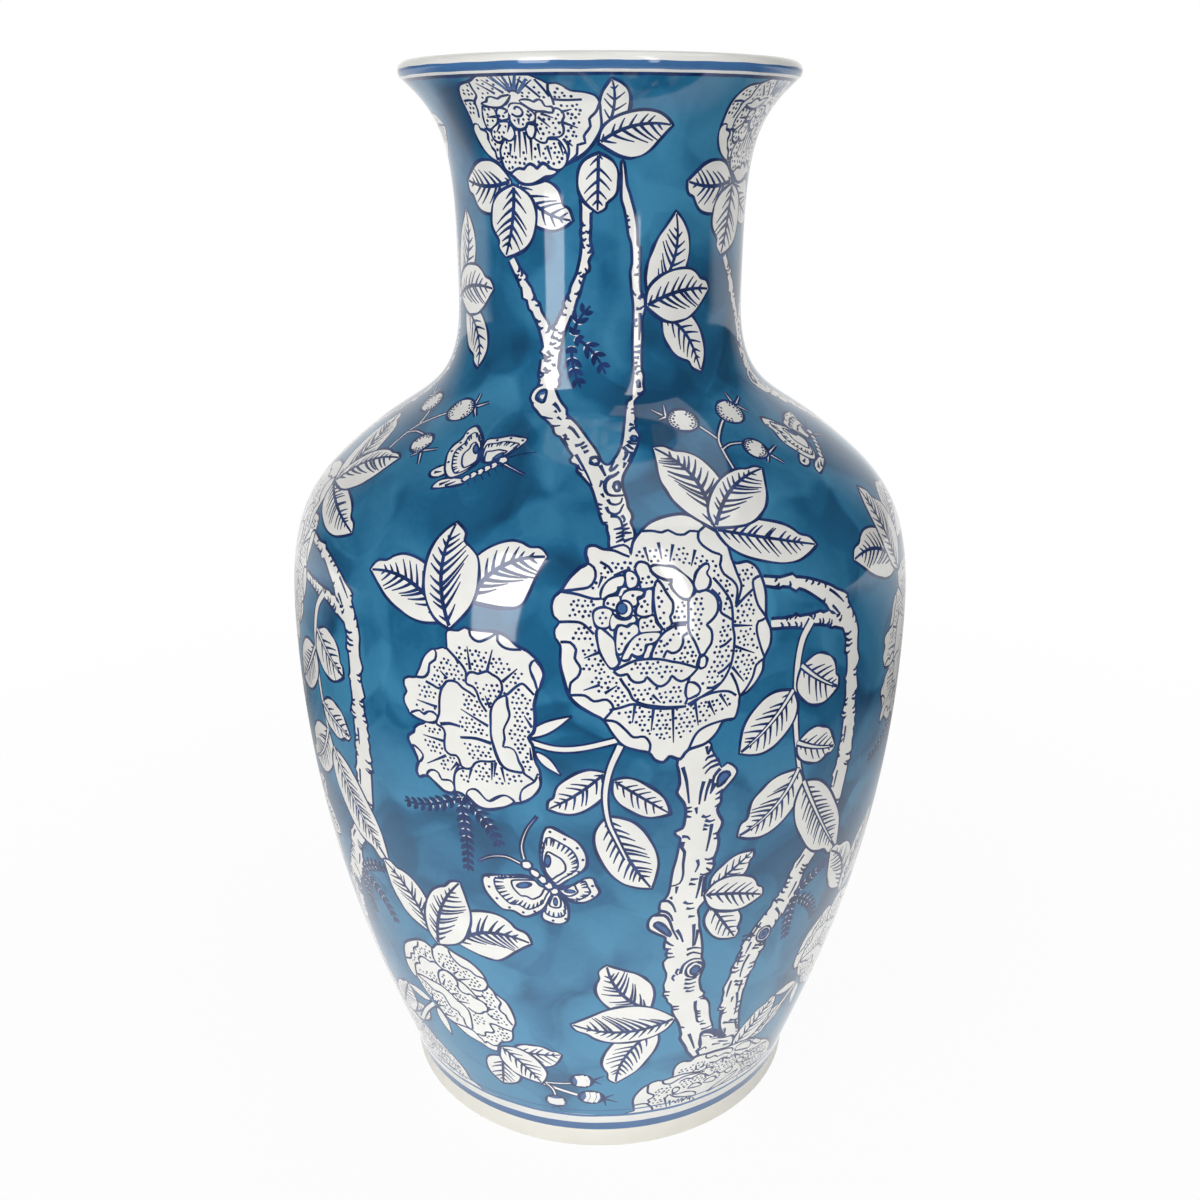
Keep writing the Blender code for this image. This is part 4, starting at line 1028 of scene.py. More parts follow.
def paint_front_butterfly(b):
    """Butterfly seen from above, on the front of the body."""
    b.stem((-12.5, 152.5), (-12.8, 158), (-11.8, 165), (-10, 171), width=0.7, end=0.2)
    b.stem((-13.2, 150.5), (-15.6, 152.5), (-18.4, 151.5), (-20.7, 148.5), width=0.7, end=0.2)
    b.wing((-7, 140), ((-6.9, 141), (-4.3, 143), (-2.5, 146), (-1.1, 146), (-0.6, 143), (0, 140),
                       (-1.1, 137),
           (-2.9, 135), (-4.8, 135.5), (-6.2, 138)))
    b.wing((-7.5, 139), ((-8.1, 139), (-9, 135), (-10, 129), (-9.7, 126), (-7.6, 124.5), (-5.7, 126),
                         (-5.3, 131),
           (-5.7, 135), (-6.9, 139)))
    b.wing((-8.8, 147), ((-9.7, 151), (-9.7, 158), (-9, 165), (-7.9, 167), (-5.3, 164), (-3.4, 161),
                         (-2.2, 156),
           (-2.2, 151), (-3.4, 148), (-5.3, 145), (-7.1, 142), (-8.8, 146)))
    b.wing((-10, 143), ((-11.8, 145), (-15.6, 144.5), (-19.3, 143), (-20.3, 141), (-20, 136), (-18.8, 132),
           (-17, 128.5), (-15.1, 128.5), (-13.2, 126.5), (-11.4, 128), (-9.7, 131), (-8.6, 136),
           (-8.1, 139), (-10, 141)))
    for place, wide in (((-7.6, 139.6), 1.6), ((-8.6, 142), 1.9), ((-9.6, 144.4), 2.1),
                        ((-10.8, 146.8), 2.1)):
        b.outlined(b.oval(place, wide, 1.5, -50), line=0.9)
    b.outlined(b.oval((-12.1, 150), 2, 1.9), line=1)


def paint_main_peony(b):
    """The great peony on the front of the body."""
    silhouette = (
        (5.1, 264), (5.7, 268.5), (7.2, 272.3), (9.1, 275.5), (12.1, 277.5), (15.3, 278), (17.6, 276.2),
        (19.1, 273), (20, 271.5), (21.3, 269), (22.2, 265), (22.4, 259), (23.7, 258.3), (25, 258.4),
        (26.3, 256.5), (26.9, 253.5), (27.3, 248), (27, 242), (26.9, 238.8), (27.6, 234.5), (27.4, 229.5),
        (26.2, 225), (26, 221), (24.8, 217), (23.2, 214), (22, 213), (21.9, 210), (21.2, 205.2),
        (19.3, 204.8), (18.3, 201), (16.5, 197.5), (13.7, 195.8), (12.5, 192.7), (11.4, 193.5), (10.7, 194),
        (9.8, 192), (8.4, 193.2), (7.5, 196), (5.6, 197.2), (3.5, 199.2), (1.9, 203.5), (0.5, 208.5),
        (-1.3, 210.8), (-3.4, 213.8), (-4.7, 217.2), (-5.5, 223), (-6, 228), (-6, 234), (-6.8, 236.5),
        (-6.9, 239.5), (-6.2, 241.8), (-7.1, 243.5), (-7.5, 247), (-7.1, 250), (-6.2, 251.7), (-5, 256),
        (-3.2, 259.8), (-2, 261.2), (-2.4, 264), (-2.2, 266.8), (-0.9, 267.4), (0.7, 266), (2.4, 266.8),
        (4, 267.5), (5, 266))
    edges = (
        ((7.2, 272.3), (9.1, 272.3), (10.9, 271.5), (12.1, 272.2), (13.4, 270.5), (14.9, 270.2),
         (16, 271.3), (17.6, 270.8)),
        ((17.6, 270.8), (17.2, 268.5), (17.6, 266), (19.1, 263.2), (20.6, 261.5), (20, 258.5),
         (20.4, 255.2), (21.6, 253), (22.3, 250), (21.7, 245)),
        ((19.3, 273), (18.4, 271.8), (17.6, 270.8)),
        ((22.4, 259), (22.7, 255), (23.1, 251), (22.5, 247.5), (21.6, 244)),
        ((21.6, 244), (23.4, 246.8), (25.1, 249)),
        ((26.9, 253), (25.4, 252), (25.2, 248.5), (25.6, 243.5), (26.8, 238.8), (25.4, 238), (25, 235),
         (25.6, 229.5), (26.3, 225.2)),
        ((26.1, 224.8), (24.8, 223.2), (24.2, 219.2), (23, 215.2), (22, 213.2)),
        ((18.4, 254.5), (19.3, 252), (20.2, 249), (20.9, 245.7), (21, 241.7), (20.9, 237.7), (21.1, 234.3),
         (20.9, 229.7), (20.6, 226.3), (20.2, 223.7), (19.2, 220), (17.9, 217.3), (16.4, 215.7), (15, 214),
         (13.8, 211.7)),
        ((20.4, 222), (21.3, 218), (22, 213.2)),
        ((13.4, 212.5), (15.3, 214.5), (17.6, 215.8), (20, 215.5), (21.4, 213.5)),
        ((13.7, 195.8), (14.9, 201.5), (16.7, 204), (19.5, 205.2), (21.2, 205.2)),
        ((0.5, 208.5), (2.4, 207.8), (4, 204.5), (5.1, 202), (6.8, 202), (7.7, 199), (7.5, 196)),
        ((1.4, 212), (3.3, 213), (5.1, 214), (7.5, 212.5), (10.2, 211.7), (13.2, 212)),
        ((-4.7, 217.2), (-2.3, 217.2), (-0.9, 215.2), (1, 215.8), (2, 213), (1.2, 210.2), (0.5, 208.5)),
        ((-6, 235.2), (-4.5, 235.2), (-3.6, 232.8), (-3.8, 230), (-2.9, 226.5), (-3.4, 223.5),
         (-4.4, 221.5), (-4.6, 217.5)),
        ((-6.2, 241.8), (-4.4, 242), (-2.7, 241.5), (-0.9, 238)),
        ((-6.2, 251.7), (-3.7, 251), (-0.9, 249.5), (1, 250)),
        ((-6.2, 251.8), (-3.7, 252.5), (-1.6, 253.5), (-0.7, 256.8), (-1, 259.8), (-2, 261.2)),
        ((0.7, 266), (2.4, 265.5), (4, 264), (4.9, 263.3)),
        ((0, 261.7), (1.4, 260), (2, 258)), ((5, 259), (3.9, 258.5), (2.2, 257)),
        ((5.6, 259.3), (6.05, 261), (6.8, 261.5), (7.75, 260.7), (8.1, 259.3), (8.5, 257.3), (9.3, 255.7),
         (8.8, 254.3), (8.5, 252.8), (7.4, 252.4), (6.4, 252.6), (6.2, 255.3), (5.9, 257.3), (5.6, 259.3)),
        ((13.8, 247.3), (14.2, 248.7), (14.8, 249.7), (15.5, 250.7), (16.9, 250.7), (17.8, 249.7),
         (18.5, 248), (18.7, 245.7), (18.5, 243.3), (17.8, 241.3), (17, 240), (16.6, 239.3), (17.2, 237.7),
         (17.4, 235.7), (17.2, 233), (16.5, 231), (16.1, 229.7), (15.4, 229.5), (15, 231.7), (14.5, 234.3),
         (13.9, 236.7), (13.6, 239), (13.7, 243), (13.8, 247.3)),
        ((17.8, 250.7), (18.8, 248.5), (19.2, 246), (19, 243.5), (19.3, 242.3), (20.2, 241), (20.8, 240)),
        ((18.5, 231.3), (19.5, 232), (20.6, 233.8)), ((18.2, 222.3), (19.2, 223.3), (20.4, 225.5)),
        ((16.4, 217.8), (17.4, 217.6), (18.6, 218.8)),
        ((8.5, 252.8), (8.3, 249.7), (8.45, 244.7), (8.8, 241.7), (9.4, 239.3), (10, 239)),
        ((9.3, 255), (9.9, 253.3), (10.4, 251), (11, 249), (11.4, 247.3), (11.2, 244.3), (10.8, 243),
         (11, 241.3), (10.9, 240), (10.1, 239.1)),
        ((11.2, 240.6), (12.2, 240.8), (13.6, 240.7)),
        ((7.75, 229.8), (7.8, 231.2), (8.2, 233.3), (8.7, 235.3), (9.3, 237), (9.9, 238.2), (10.6, 239),
         (11.4, 239.8), (12.3, 240.1), (13.3, 240)),
        ((13.5, 237.3), (13.1, 236.8), (12.7, 236.2), (12.7, 234.3), (12.3, 232.3), (11.6, 231.1),
         (10.8, 231), (10.2, 231.8), (9.8, 230.5), (9.6, 229.5)),
        ((15.4, 229.5), (15.1, 228), (14.9, 226.8), (14.8, 225.6)),
        ((2, 225.8), (3.3, 227.2), (4.35, 228.3), (5.6, 229.2), (7.3, 229.4), (8.8, 229.2), (9.9, 228.7),
         (11, 228), (12.2, 227.4), (13.6, 226.3), (15, 225)),
        ((2, 225.7), (2.7, 224.3), (3.4, 224.2), (4.1, 224.5), (4.5, 223), (5.1, 221.8), (5.9, 221.5),
         (6.7, 222), (7.05, 223.3), (7.75, 221.7), (8.5, 220.2), (9.3, 219.8), (10.1, 220.7), (10.6, 222),
         (10.9, 223.2), (11.6, 221.8), (12.4, 221), (13.2, 221.6), (13.9, 222.6), (15, 225)),
        ((3, 223.3), (3.6, 221), (4.35, 218.7), (4.8, 216.3), (5.4, 215), (6.7, 213.7), (8.2, 213),
         (10.1, 212.3), (13, 212)),
        ((13.7, 222.3), (13.3, 219.2), (13.5, 215.8), (13, 212.6)))
    plain = (
        ((-0.3, 239), (0, 239.7), (0.65, 238.7), (1.4, 237.3), (2, 236), (2.2, 234), (2.3, 231.3),
         (2.6, 229.3), (2.65, 228.3), (2.2, 227.2), (1.65, 227), (1.1, 228.3), (0.5, 230.7), (0, 233.3),
         (-0.25, 236.3)),
        ((0.3, 249.8), (0.3, 251), (0.65, 253.3), (1.4, 255.2), (2.5, 256.3), (3.6, 256.7), (3.8, 255.8),
         (3.7, 254.7), (3.4, 253.7), (2.7, 253.5), (2.6, 252.3), (2.1, 251.5), (1.3, 251), (0.6, 250)),
        ((8.4, 259.3), (9.4, 259.7), (10.7, 259.3), (11.8, 258.8), (12.8, 257.5), (13.8, 255.8),
         (14.5, 253.7), (14.8, 251.7), (14.4, 249.7), (13.9, 248.7), (13.1, 249), (12.4, 250),
         (11.8, 251.7), (11.5, 253.3), (11.7, 255.3), (10.8, 255.5), (9.75, 256.3), (8.8, 257.7)),
        ((15.5, 251), (15.2, 253), (15.5, 254.7), (15.9, 256.3), (16.5, 257.7), (17.3, 258.7),
         (17.85, 258.8), (17.8, 257.7), (17.3, 256.5), (17.4, 255.3), (17.7, 254.3), (17.5, 252.7),
         (17, 251.3), (16.2, 251)),
        ((15.4, 227), (15.5, 228.2), (16, 228.7), (16.2, 228), (16.2, 226.7), (16, 225.5), (15.5, 225.3),
         (15.3, 226)),
        ((13.45, 215), (13.3, 217), (13.45, 219.7), (13.9, 220), (14.7, 219), (15.2, 217.5), (15, 216.3),
         (14.2, 215.5)),
        ((6.6, 230), (7.05, 232.3), (7.3, 233.7), (7.8, 234), (7.9, 233.3), (7.5, 231.3), (7.3, 230)),
        ((2.9, 250.5), (3.1, 251.5), (3.4, 252.7), (3.9, 253), (4.2, 252.6), (3.7, 252.1), (3.5, 251.2),
         (3.3, 250.5)))
    cells = (
        ((3.4, 230), (3.8, 231.9), (4.2, 233.5), (4.6, 235), (5.2, 236.5), (6, 237.5), (7, 238), (8.5, 238),
         (9.1, 237.6), (8.9, 236.6), (8.4, 235.4), (7.7, 234.8), (6.9, 234.6), (6.7, 233.6), (6.6, 232),
         (6.2, 231), (5.6, 230.8), (5.1, 231.3), (4.8, 231.7), (4.5, 231), (4.2, 229.9), (3.6, 229.6)),
        ((4.2, 257.5), (4.5, 258.2), (5.1, 258), (5.6, 257), (5.9, 255.7), (5.7, 254), (5.3, 253.3),
         (4.7, 253), (4.35, 253.7), (4.2, 255.7)),
        ((0.9, 247.3), (0.8, 248.3), (1.2, 249.7), (1.7, 250), (2.8, 250.2), (3, 249.7), (3, 248),
         (2.7, 246.3), (2.2, 246.2), (1.6, 246.7)),
        ((3.4, 249.7), (3.7, 250.8), (4.3, 251.7), (5.1, 252), (6.2, 251.8), (6.7, 251.3), (6.4, 250.5),
         (5.8, 250.2), (5.6, 249.3), (5.7, 248.3), (5.5, 247.4), (5, 247.3), (4.7, 248.3), (4, 248.8),
         (3.5, 249)),
        ((1.65, 243), (2, 244.3), (2.3, 243.3), (3, 242.5), (3.9, 242.3), (4.7, 242.8), (5, 243.7),
         (5.3, 243.3), (5.4, 242.3), (5.1, 241.8), (4.5, 241.7), (4, 241), (3.4, 241.3), (2.6, 241.3),
         (2.2, 240), (1.8, 239.8), (1.6, 241.3)),
        ((-0.9, 243.7), (-0.75, 245.3), (0, 246.2), (0.95, 246.3), (1.6, 245.7), (1.8, 244.8), (1.5, 243.3),
         (1.35, 241.7), (1.25, 240.7), (0.5, 240.3), (-0.3, 240.8), (-0.75, 242)),
        ((5.75, 245.7), (5.9, 246.7), (6.2, 247.7), (6.05, 248.7), (7, 249.7), (7.3, 251.7), (7.9, 252),
         (8.1, 251.5), (8, 249), (7.9, 246.3), (7.9, 244.3), (7.3, 244), (6.7, 243.8), (6, 244.2),
         (5.7, 244.8)),
        ((6.05, 242), (6.4, 242.8), (7.1, 242.8), (7.9, 243.5), (8.3, 243), (8.4, 241.3), (9, 239.7),
         (9.2, 238.7), (8.2, 238.6), (7, 238.6), (6.2, 238.5), (6, 240)),
        ((2.6, 238.3), (2.8, 240), (3.3, 240.5), (3.9, 240), (4.35, 240), (5, 241), (5.5, 240.7),
         (5.75, 239.7), (5.7, 238.2), (5.1, 237.3), (4.35, 235.7), (3.7, 234), (3.3, 232), (2.7, 231.8),
         (2.5, 233.7), (2.5, 236.3)))
    strokes = (
        ((10, 268), (10.2, 262)), ((12.5, 267), (11.5, 261)), ((16.2, 264.5), (15, 259)),
        ((7.5, 266.5), (8, 261.5)), ((21, 238), (24.3, 237)), ((21, 231), (24.5, 227.5)),
        ((20.6, 224), (22.7, 218)), ((5.3, 214), (4.9, 207.3)), ((8.1, 212), (7.8, 204)),
        ((11.1, 212), (11.3, 199)), ((14.6, 213), (15.2, 204.5)), ((16.7, 213), (17.9, 207.5)),
        ((18.6, 215), (20, 210)), ((0, 221), (-2.5, 219)), ((-0.2, 232), (-2.4, 230)),
        ((0.4, 257), (-0.3, 253)), ((7.9, 217), (9.2, 214)), ((0.7, 218), (2.6, 220.7)),
        ((22, 245), (24.1, 247.5)))
    fields = (
        ((5, 266), (8, 266.5), (14, 266.5), (17, 262.5), (19.5, 260), (20, 256), (21.5, 251), (21.5, 246),
         (20, 249), (18.5, 253.5), (17.8, 257), (15, 259), (12, 260), (9, 261), (5.5, 262)),
        ((22.8, 257), (25.5, 257), (26, 254.5), (24.5, 251), (23.2, 249)),
        ((21.3, 244), (24.5, 247.5), (25, 243), (24.8, 238), (24.5, 233), (25.3, 227), (24, 221.5),
         (22.5, 217), (21.2, 219), (20.8, 224), (21.3, 233)),
        ((2.5, 211.5), (5, 213), (13, 211.5), (16, 213.5), (20, 215), (21, 212), (20, 209.5), (17.5, 208),
         (15.5, 204.5), (13, 201), (10.5, 199.5), (8.5, 201.5), (6, 205), (4, 208)),
        ((-1.5, 223), (1, 226.5), (3, 222), (4.5, 217.5), (4.5, 214.5), (2.3, 213.5), (1, 217), (-1, 219)),
        ((-3, 231), (-1.5, 236), (0, 233), (1.5, 228), (0, 224.5), (-2.5, 225.5)),
        ((-4.5, 239.5), (-1, 241), (-0.5, 238), (-1, 235), (-4, 236)),
        ((-5, 245.5), (-4.5, 249.5), (-1, 249), (-1, 244), (-2.5, 242.3), (-4.5, 243)),
        ((-1.5, 252), (0, 258), (1, 261), (4.8, 262.5), (5.5, 259), (3.8, 258), (1, 256), (0, 251.5)),
        ((6, 253), (6.2, 257), (8.4, 257.3), (8.8, 255.5), (8.2, 252.8)),
        ((13.9, 247), (16, 249), (16.4, 244), (15.8, 238), (15, 233), (14.3, 236), (13.9, 241)),
        ((18.6, 252), (20.5, 247), (20.8, 240.5), (19.5, 241.5), (19.2, 247)),
        ((19, 241), (20.8, 239), (20.8, 230), (20.3, 224.5), (18.5, 220), (16.5, 218), (15.5, 219),
         (17, 224), (17.6, 229), (18.4, 235)),
        ((8.5, 253), (9.8, 252.5), (10, 246), (10, 239.5), (8.6, 243), (8.3, 249)),
        ((10.9, 250), (13.6, 248.5), (13.4, 240.9), (11.2, 241), (11.6, 246)),
        ((10, 254.3), (11.4, 255), (11.2, 252.5), (11.6, 250), (10.6, 251)),
        ((8.2, 232.5), (9.5, 236.5), (10, 236), (9.8, 231), (8, 230)),
        ((10.2, 234), (10.3, 238), (12.5, 239.8), (12.3, 237.5), (11, 236)),
        ((10.4, 230), (12.5, 231.5), (13.5, 235), (14.8, 230), (14.7, 226.5), (13.6, 225.8), (11.5, 228.4)),
        ((4, 228), (7, 229.2), (10, 228.4), (13, 225), (12.3, 223.3), (9, 223), (6.5, 224.5), (4.8, 225.5)),
        ((3.2, 222.5), (5, 221), (8, 219.5), (10, 219), (12.5, 220), (13, 212.5), (10, 212.7), (6, 214.5)))
    b.flower(silhouette, edges, plain, cells, strokes, fields, 0.85, packed=True)
    b.lay("ink", b.oval((3.75, 246), 3.0, 3.3))
    b.lay("reserve", b.oval((3.8, 246), 2.1, 2.4))
    b.outlined(b.oval((3.4, 246.3), 1.6, 1.8), 0.5, "mid")


def paint_trunk(b):
    """Trunk, limb, vine and sprays of the body."""
    b.limbs(((27.7, 236.4, 3), (31.8, 235.3, 3.4), (34.8, 234.8, 3.8), (38.4, 233.7, 4), (43.5, 230, 5)),
            ((27.2, 251.4, 2.6), (30.3, 249.8, 3), (34.8, 247.6, 4), (38.4, 243.7, 6), (41, 239.8, 7.5),
             (43.5, 234.2, 8), (45.4, 226.4, 8), (45.8, 219.8, 7), (46, 212, 6.5), (46.1, 201, 6.5),
             (46.3, 190, 7.5), (46.2, 179, 8), (45.6, 168, 9), (44.8, 158, 9), (43.5, 150, 8.5),
             (41, 141, 8), (38.2, 133, 8.5), (36.8, 125, 9), (34.5, 117, 9), (31.5, 109, 9.5),
             (30, 100, 10.5), (28.8, 90, 10), (28.1, 80, 9.5), (28.4, 70, 9), (29.2, 60, 8.5), (31, 52, 6),
             (33, 43, 5)), marks=0.9)
    b.knot((32.3, 106.5), 3.4, 3.8, 10)
    b.fern((38.4, 120), (48, 129), 2)
    b.fern((38.4, 119), (46.6, 101), 3)
    b.fern((38.4, 120), (38.7, 98.5), -1)

    # Root and trunk, with their bark
    b.petal((22.3, 56.5), (23.6, 58.8), (25.5, 56.5), (26.5, 53), (29, 50.5), (31.5, 49.5), (32.4, 45.5),
            (31.5, 42.5), (28, 42.7), (25, 43.3), (22.7, 44.3), (22.3, 47), (22.9, 50))
    b.lay("ink",
          b.soft(b.at((22.6, 60), (24.9, 60), (26.6, 57.5), (28.5, 54), (29.6, 51), (27, 51.8),
                      (25.2, 52.6),
                             (24.6, 55.4), (23, 56)), closed=True))
    b.petal(
        (13.3, 197), (12, 191.5), (12.3, 188), (12.5, 183), (12.1, 180), (12.5, 178), (13.3, 175.5),
        (13.7, 172), (13.6, 168), (13.3, 165.2), (12.1, 164.2), (12.3, 162.4), (13, 161), (12.8, 157),
        (12.5, 152), (12.1, 148), (11.9, 144), (11.8, 141.3), (11.6, 138), (11.1, 135.6), (10.3, 134.2),
        (10.1, 131.5), (10.2, 129.2), (8.9, 127.8), (8.3, 125), (8.5, 121.8), (10, 119.2), (11.6, 116.8),
        (11.5, 114), (11.6, 111.4), (12.2, 110.4), (11.9, 108.5), (12.3, 106.6), (11.6, 104.6), (11.9, 101),
        (12.4, 98.5), (12.4, 95.5), (12.1, 92), (12.4, 89), (12.2, 86.5), (13, 84.5), (13.3, 82.3),
        (14.1, 80.4), (14.5, 78), (14.6, 76), (15.2, 73), (16, 70), (16.6, 67), (17, 64), (17.4, 61),
        (17.3, 58.8), (18, 56), (18.7, 53.5), (19.3, 51), (19.8, 48.5), (20.7, 46), (21.7, 43.5),
        (23, 44.6), (22.2, 47.6), (23, 49), (22.5, 52), (22.3, 56), (22.4, 59.6), (24.8, 59.8),
        (24.6, 62.6), (23.9, 66), (23.3, 70), (22.9, 74), (22.5, 77), (21.8, 79.4), (20.8, 82), (21, 83.6),
        (20.2, 85.6), (19.8, 88), (19.4, 92), (19.6, 95.5), (19.9, 99), (19.5, 101.8), (19.1, 104),
        (19, 108), (18.7, 112), (18.3, 116), (17.8, 120), (17.6, 124), (17.2, 128), (17.8, 130.4),
        (18.4, 132.4), (18.1, 136), (18, 140), (18.1, 143), (19, 145), (19.4, 147.5), (19.2, 150),
        (19.7, 154), (19.8, 158), (19.5, 160.4), (20, 163), (20.2, 165.6), (19.6, 168), (19.1, 171),
        (19.7, 174), (19.6, 177), (20.6, 179.6), (21.6, 182), (22.2, 184.6), (21.6, 187), (20.3, 188.8),
        (19.4, 187.4), (18.8, 190.3), (18, 193), (17.5, 195.5), (17, 198))
    for hole in (((20.7, 185), (19.7, 185.4), (18.9, 183.6), (18.9, 180), (20, 181.4), (20.9, 183.8)),
                 ((10, 124.9), (9.4, 123.4), (10.6, 120.6), (12.4, 117.2), (12.3, 119.6), (11.4, 122.6))):
        b.outlined(b.soft(b.at(*hole), closed=True), fill="mid")
    b.dashes(((12.9, 189.5), (13.6, 184), (14.2, 175)),
             ((19.2, 187), (18.2, 184.4), (18, 181), (17.7, 177.6)),
             ((16.5, 183), (16.1, 179), (15.9, 174)), ((17.7, 183.5), (17.1, 179.5), (16.8, 175)),
             ((18.3, 165.3), (18.1, 160), (17.7, 154)),
             ((13.6, 159.5), (13.4, 157), (13.9, 155), (13.8, 150), (13.9, 145),
              (13.4, 141.6), (12, 140.8)), ((17.2, 143.5), (17, 139), (16.6, 133.6)),
              ((17.9, 143), (17.7, 139), (17.6, 134)),
             ((10.6, 134.5), (11.6, 134.2), (12.5, 132), (13.1, 128.5)),
             ((10.2, 130), (11.4, 129.2), (12.3, 127), (12.7, 124.5)),
             ((9.4, 128.2), (11.2, 127.6), (12.2, 124.5), (12.8, 120.5), (14, 115)),
             ((13.6, 120), (14.4, 117), (15, 113.4)), ((16.7, 121.5), (16.9, 116), (17, 110.4)),
             ((17.6, 118.5), (17.5, 114.5), (17.3, 110.6)),
             ((15.2, 97), (15.5, 101), (16.4, 103), (17.6, 103.8), (19, 103)),
             ((19.3, 80), (19.5, 76), (20, 72.5),
              (20.5, 68), (21.2, 66.3), (22.2, 66.8)), ((19.3, 60.3), (20.4, 55), (21.5, 49.5)),
             first=1.5, last=0.7)
    b.dashes(((16.7, 196.4), (16.9, 193.2)), ((17.5, 196), (17, 193)),
             ((18.3, 192.7), (17, 192), (16.6, 190.8)), ((19, 190.5), (17.6, 190.2), (16.2, 188)),
             ((19.2, 189), (17.5, 188), (16.6, 185.8)), ((18.6, 181.6), (17.8, 178)),
             ((19.9, 178.4), (18.6, 177)), ((19.8, 176), (18.6, 175)), ((19.7, 173.2), (18.6, 172)),
             ((13.5, 173), (14.7, 173.3)), ((13.6, 171.8), (14.8, 171.6)), ((13.6, 170), (14.7, 169.3)),
             ((15.4, 173), (15.6, 170.3)), ((16.5, 169.3), (17.2, 168.4), (18, 169)),
             ((17.1, 167.3), (17.9, 166.4), (18.8, 166.8)), ((16.9, 165.3), (17.9, 164.6)),
             ((16.8, 163.7), (17.6, 163.2)), ((13.3, 161.7), (14.2, 161.4), (14.7, 160)),
             ((19.8, 161.2), (18.6, 160.8)), ((19.7, 159), (18.8, 158.8)),
             ((16.2, 151), (16.5, 148.5), (16, 145.6)), ((19.4, 150.8), (18.2, 150.2), (17.5, 150.9)),
             ((19.3, 148), (17.9, 148.8)), ((18.8, 145), (17.9, 146.8)),
             ((19, 144.4), (17.6, 143.8), (16.9, 144.5)), ((15.3, 142.6), (16.7, 142.4)),
             ((15.1, 140.8), (16.3, 140)), ((13, 140.4), (12.9, 137.2)), ((12, 136), (12.3, 134.7)),
             ((14.4, 132.9), (15.2, 131.7), (16.2, 131.6)), ((15, 129.7), (15.6, 129.2), (16.5, 129.2)),
             ((15.5, 125.6), (16.7, 125.3)), ((11.5, 115.4), (12.5, 113.4),
              (13.3, 112.2)), ((11.6, 111.2), (12.9, 110.8)), ((11.9, 109), (13.3, 108.4)),
              ((12, 106.6), (13.7, 106.6)),
             ((15.9, 109.2), (17.2, 109.7), (18.8, 108.6)), ((16, 106.4), (17.2, 107.3), (18.9, 105.6)),
             ((14.7, 100), (14.3, 98), (14.8, 96.6)), ((14.1, 97), (13.7, 95.4), (14.2, 93.7)),
             ((16.3, 93.5), (17.5, 92.9), (18.7, 93.5)), ((16.3, 91.4), (17.4, 90.6), (18.7, 91)),
             ((16.3, 89), (17.4, 88.3), (18.6, 88.6)), ((16.8, 87), (17.7, 86.3), (18.6, 86.6)),
             ((20, 73.5), (21, 73)), ((20.2, 72), (21.1, 71.6)), ((20.4, 70), (21.3, 69.8)),
             ((21.1, 82), (19.8, 81.6)), ((21.6, 80), (20.2, 80.8)), ((14.5, 79.2), (15.9, 78.8)),
             ((14.7, 77.4), (16, 77.2)), ((12.2, 88.6), (13.6, 88)), ((12.2, 86.4), (13.5, 86)),
             ((17, 65.8), (18, 64.9)), ((21.5, 65), (22.9, 64.3)), ((22, 61.4), (23.2, 61.2), (24.6, 62.2)),
             first=1.4, last=0.6)
    b.outlined(b.oval((17.9, 98), 3.3, 3.9))
    b.outlined(b.oval((18.1, 97.6), 1.8, 2.2), fill="mid")
    b.dashes(((22.9, 57.4), (24.6, 56.2), (25.8, 54)), ((23, 54.6), (24.6, 53.4), (27, 52.6)), first=1.1,
             last=0.5,
             paint="reserve")
    b.dashes(((22.6, 47), (24.2, 48.4), (24.8, 46.8)), ((26, 48.6), (28.4, 47.4)),
             ((27.6, 49.4), (30.6, 46.8)), ((29.4, 45.4), (31.6, 44.4)), first=1.2, last=0.6)

    # Bark of the right limb
    b.dashes(((29.8, 98), (29, 94), (28.7, 89), (28.8, 86.5)), ((27.8, 101), (27.5, 97), (27.4, 94)),
             ((29, 78), (29.6, 73), (30, 66), (29.9, 64)), ((26.5, 70), (26.4, 65), (26.8, 57)),
             ((27.4, 61.2), (29, 60), (30.6, 58.6), (32, 57.3)), ((29, 61.5), (30.4, 60.3), (32, 60)),
             ((27.2, 109), (28.4, 109), (29.6, 107.6)), ((27.2, 107), (28.3, 106.6), (29.4, 105.6)),
             ((31.2, 103.6), (32.8, 102.2)), ((30.6, 102), (32.5, 100.8)), ((30.2, 100.8), (31.9, 99.6)),
             ((31.8, 92.6), (30.4, 92.4)), ((31.4, 90.4), (30.2, 90.2)),
             ((27.6, 85.4), (28.6, 84.3), (29.7, 84.1)), ((27.9, 83.4), (29, 82), (30.2, 81.6)),
             ((28.2, 76), (28.1, 73)), ((28.3, 57), (28.9, 53.5)),
             ((32.7, 123), (33.6, 121.8), (34.2, 120)), ((33.8, 122), (35, 121), (35.9, 119.4)),
             ((34, 118), (35.2, 114.5), (35.4, 112)), first=1.4, last=0.6)

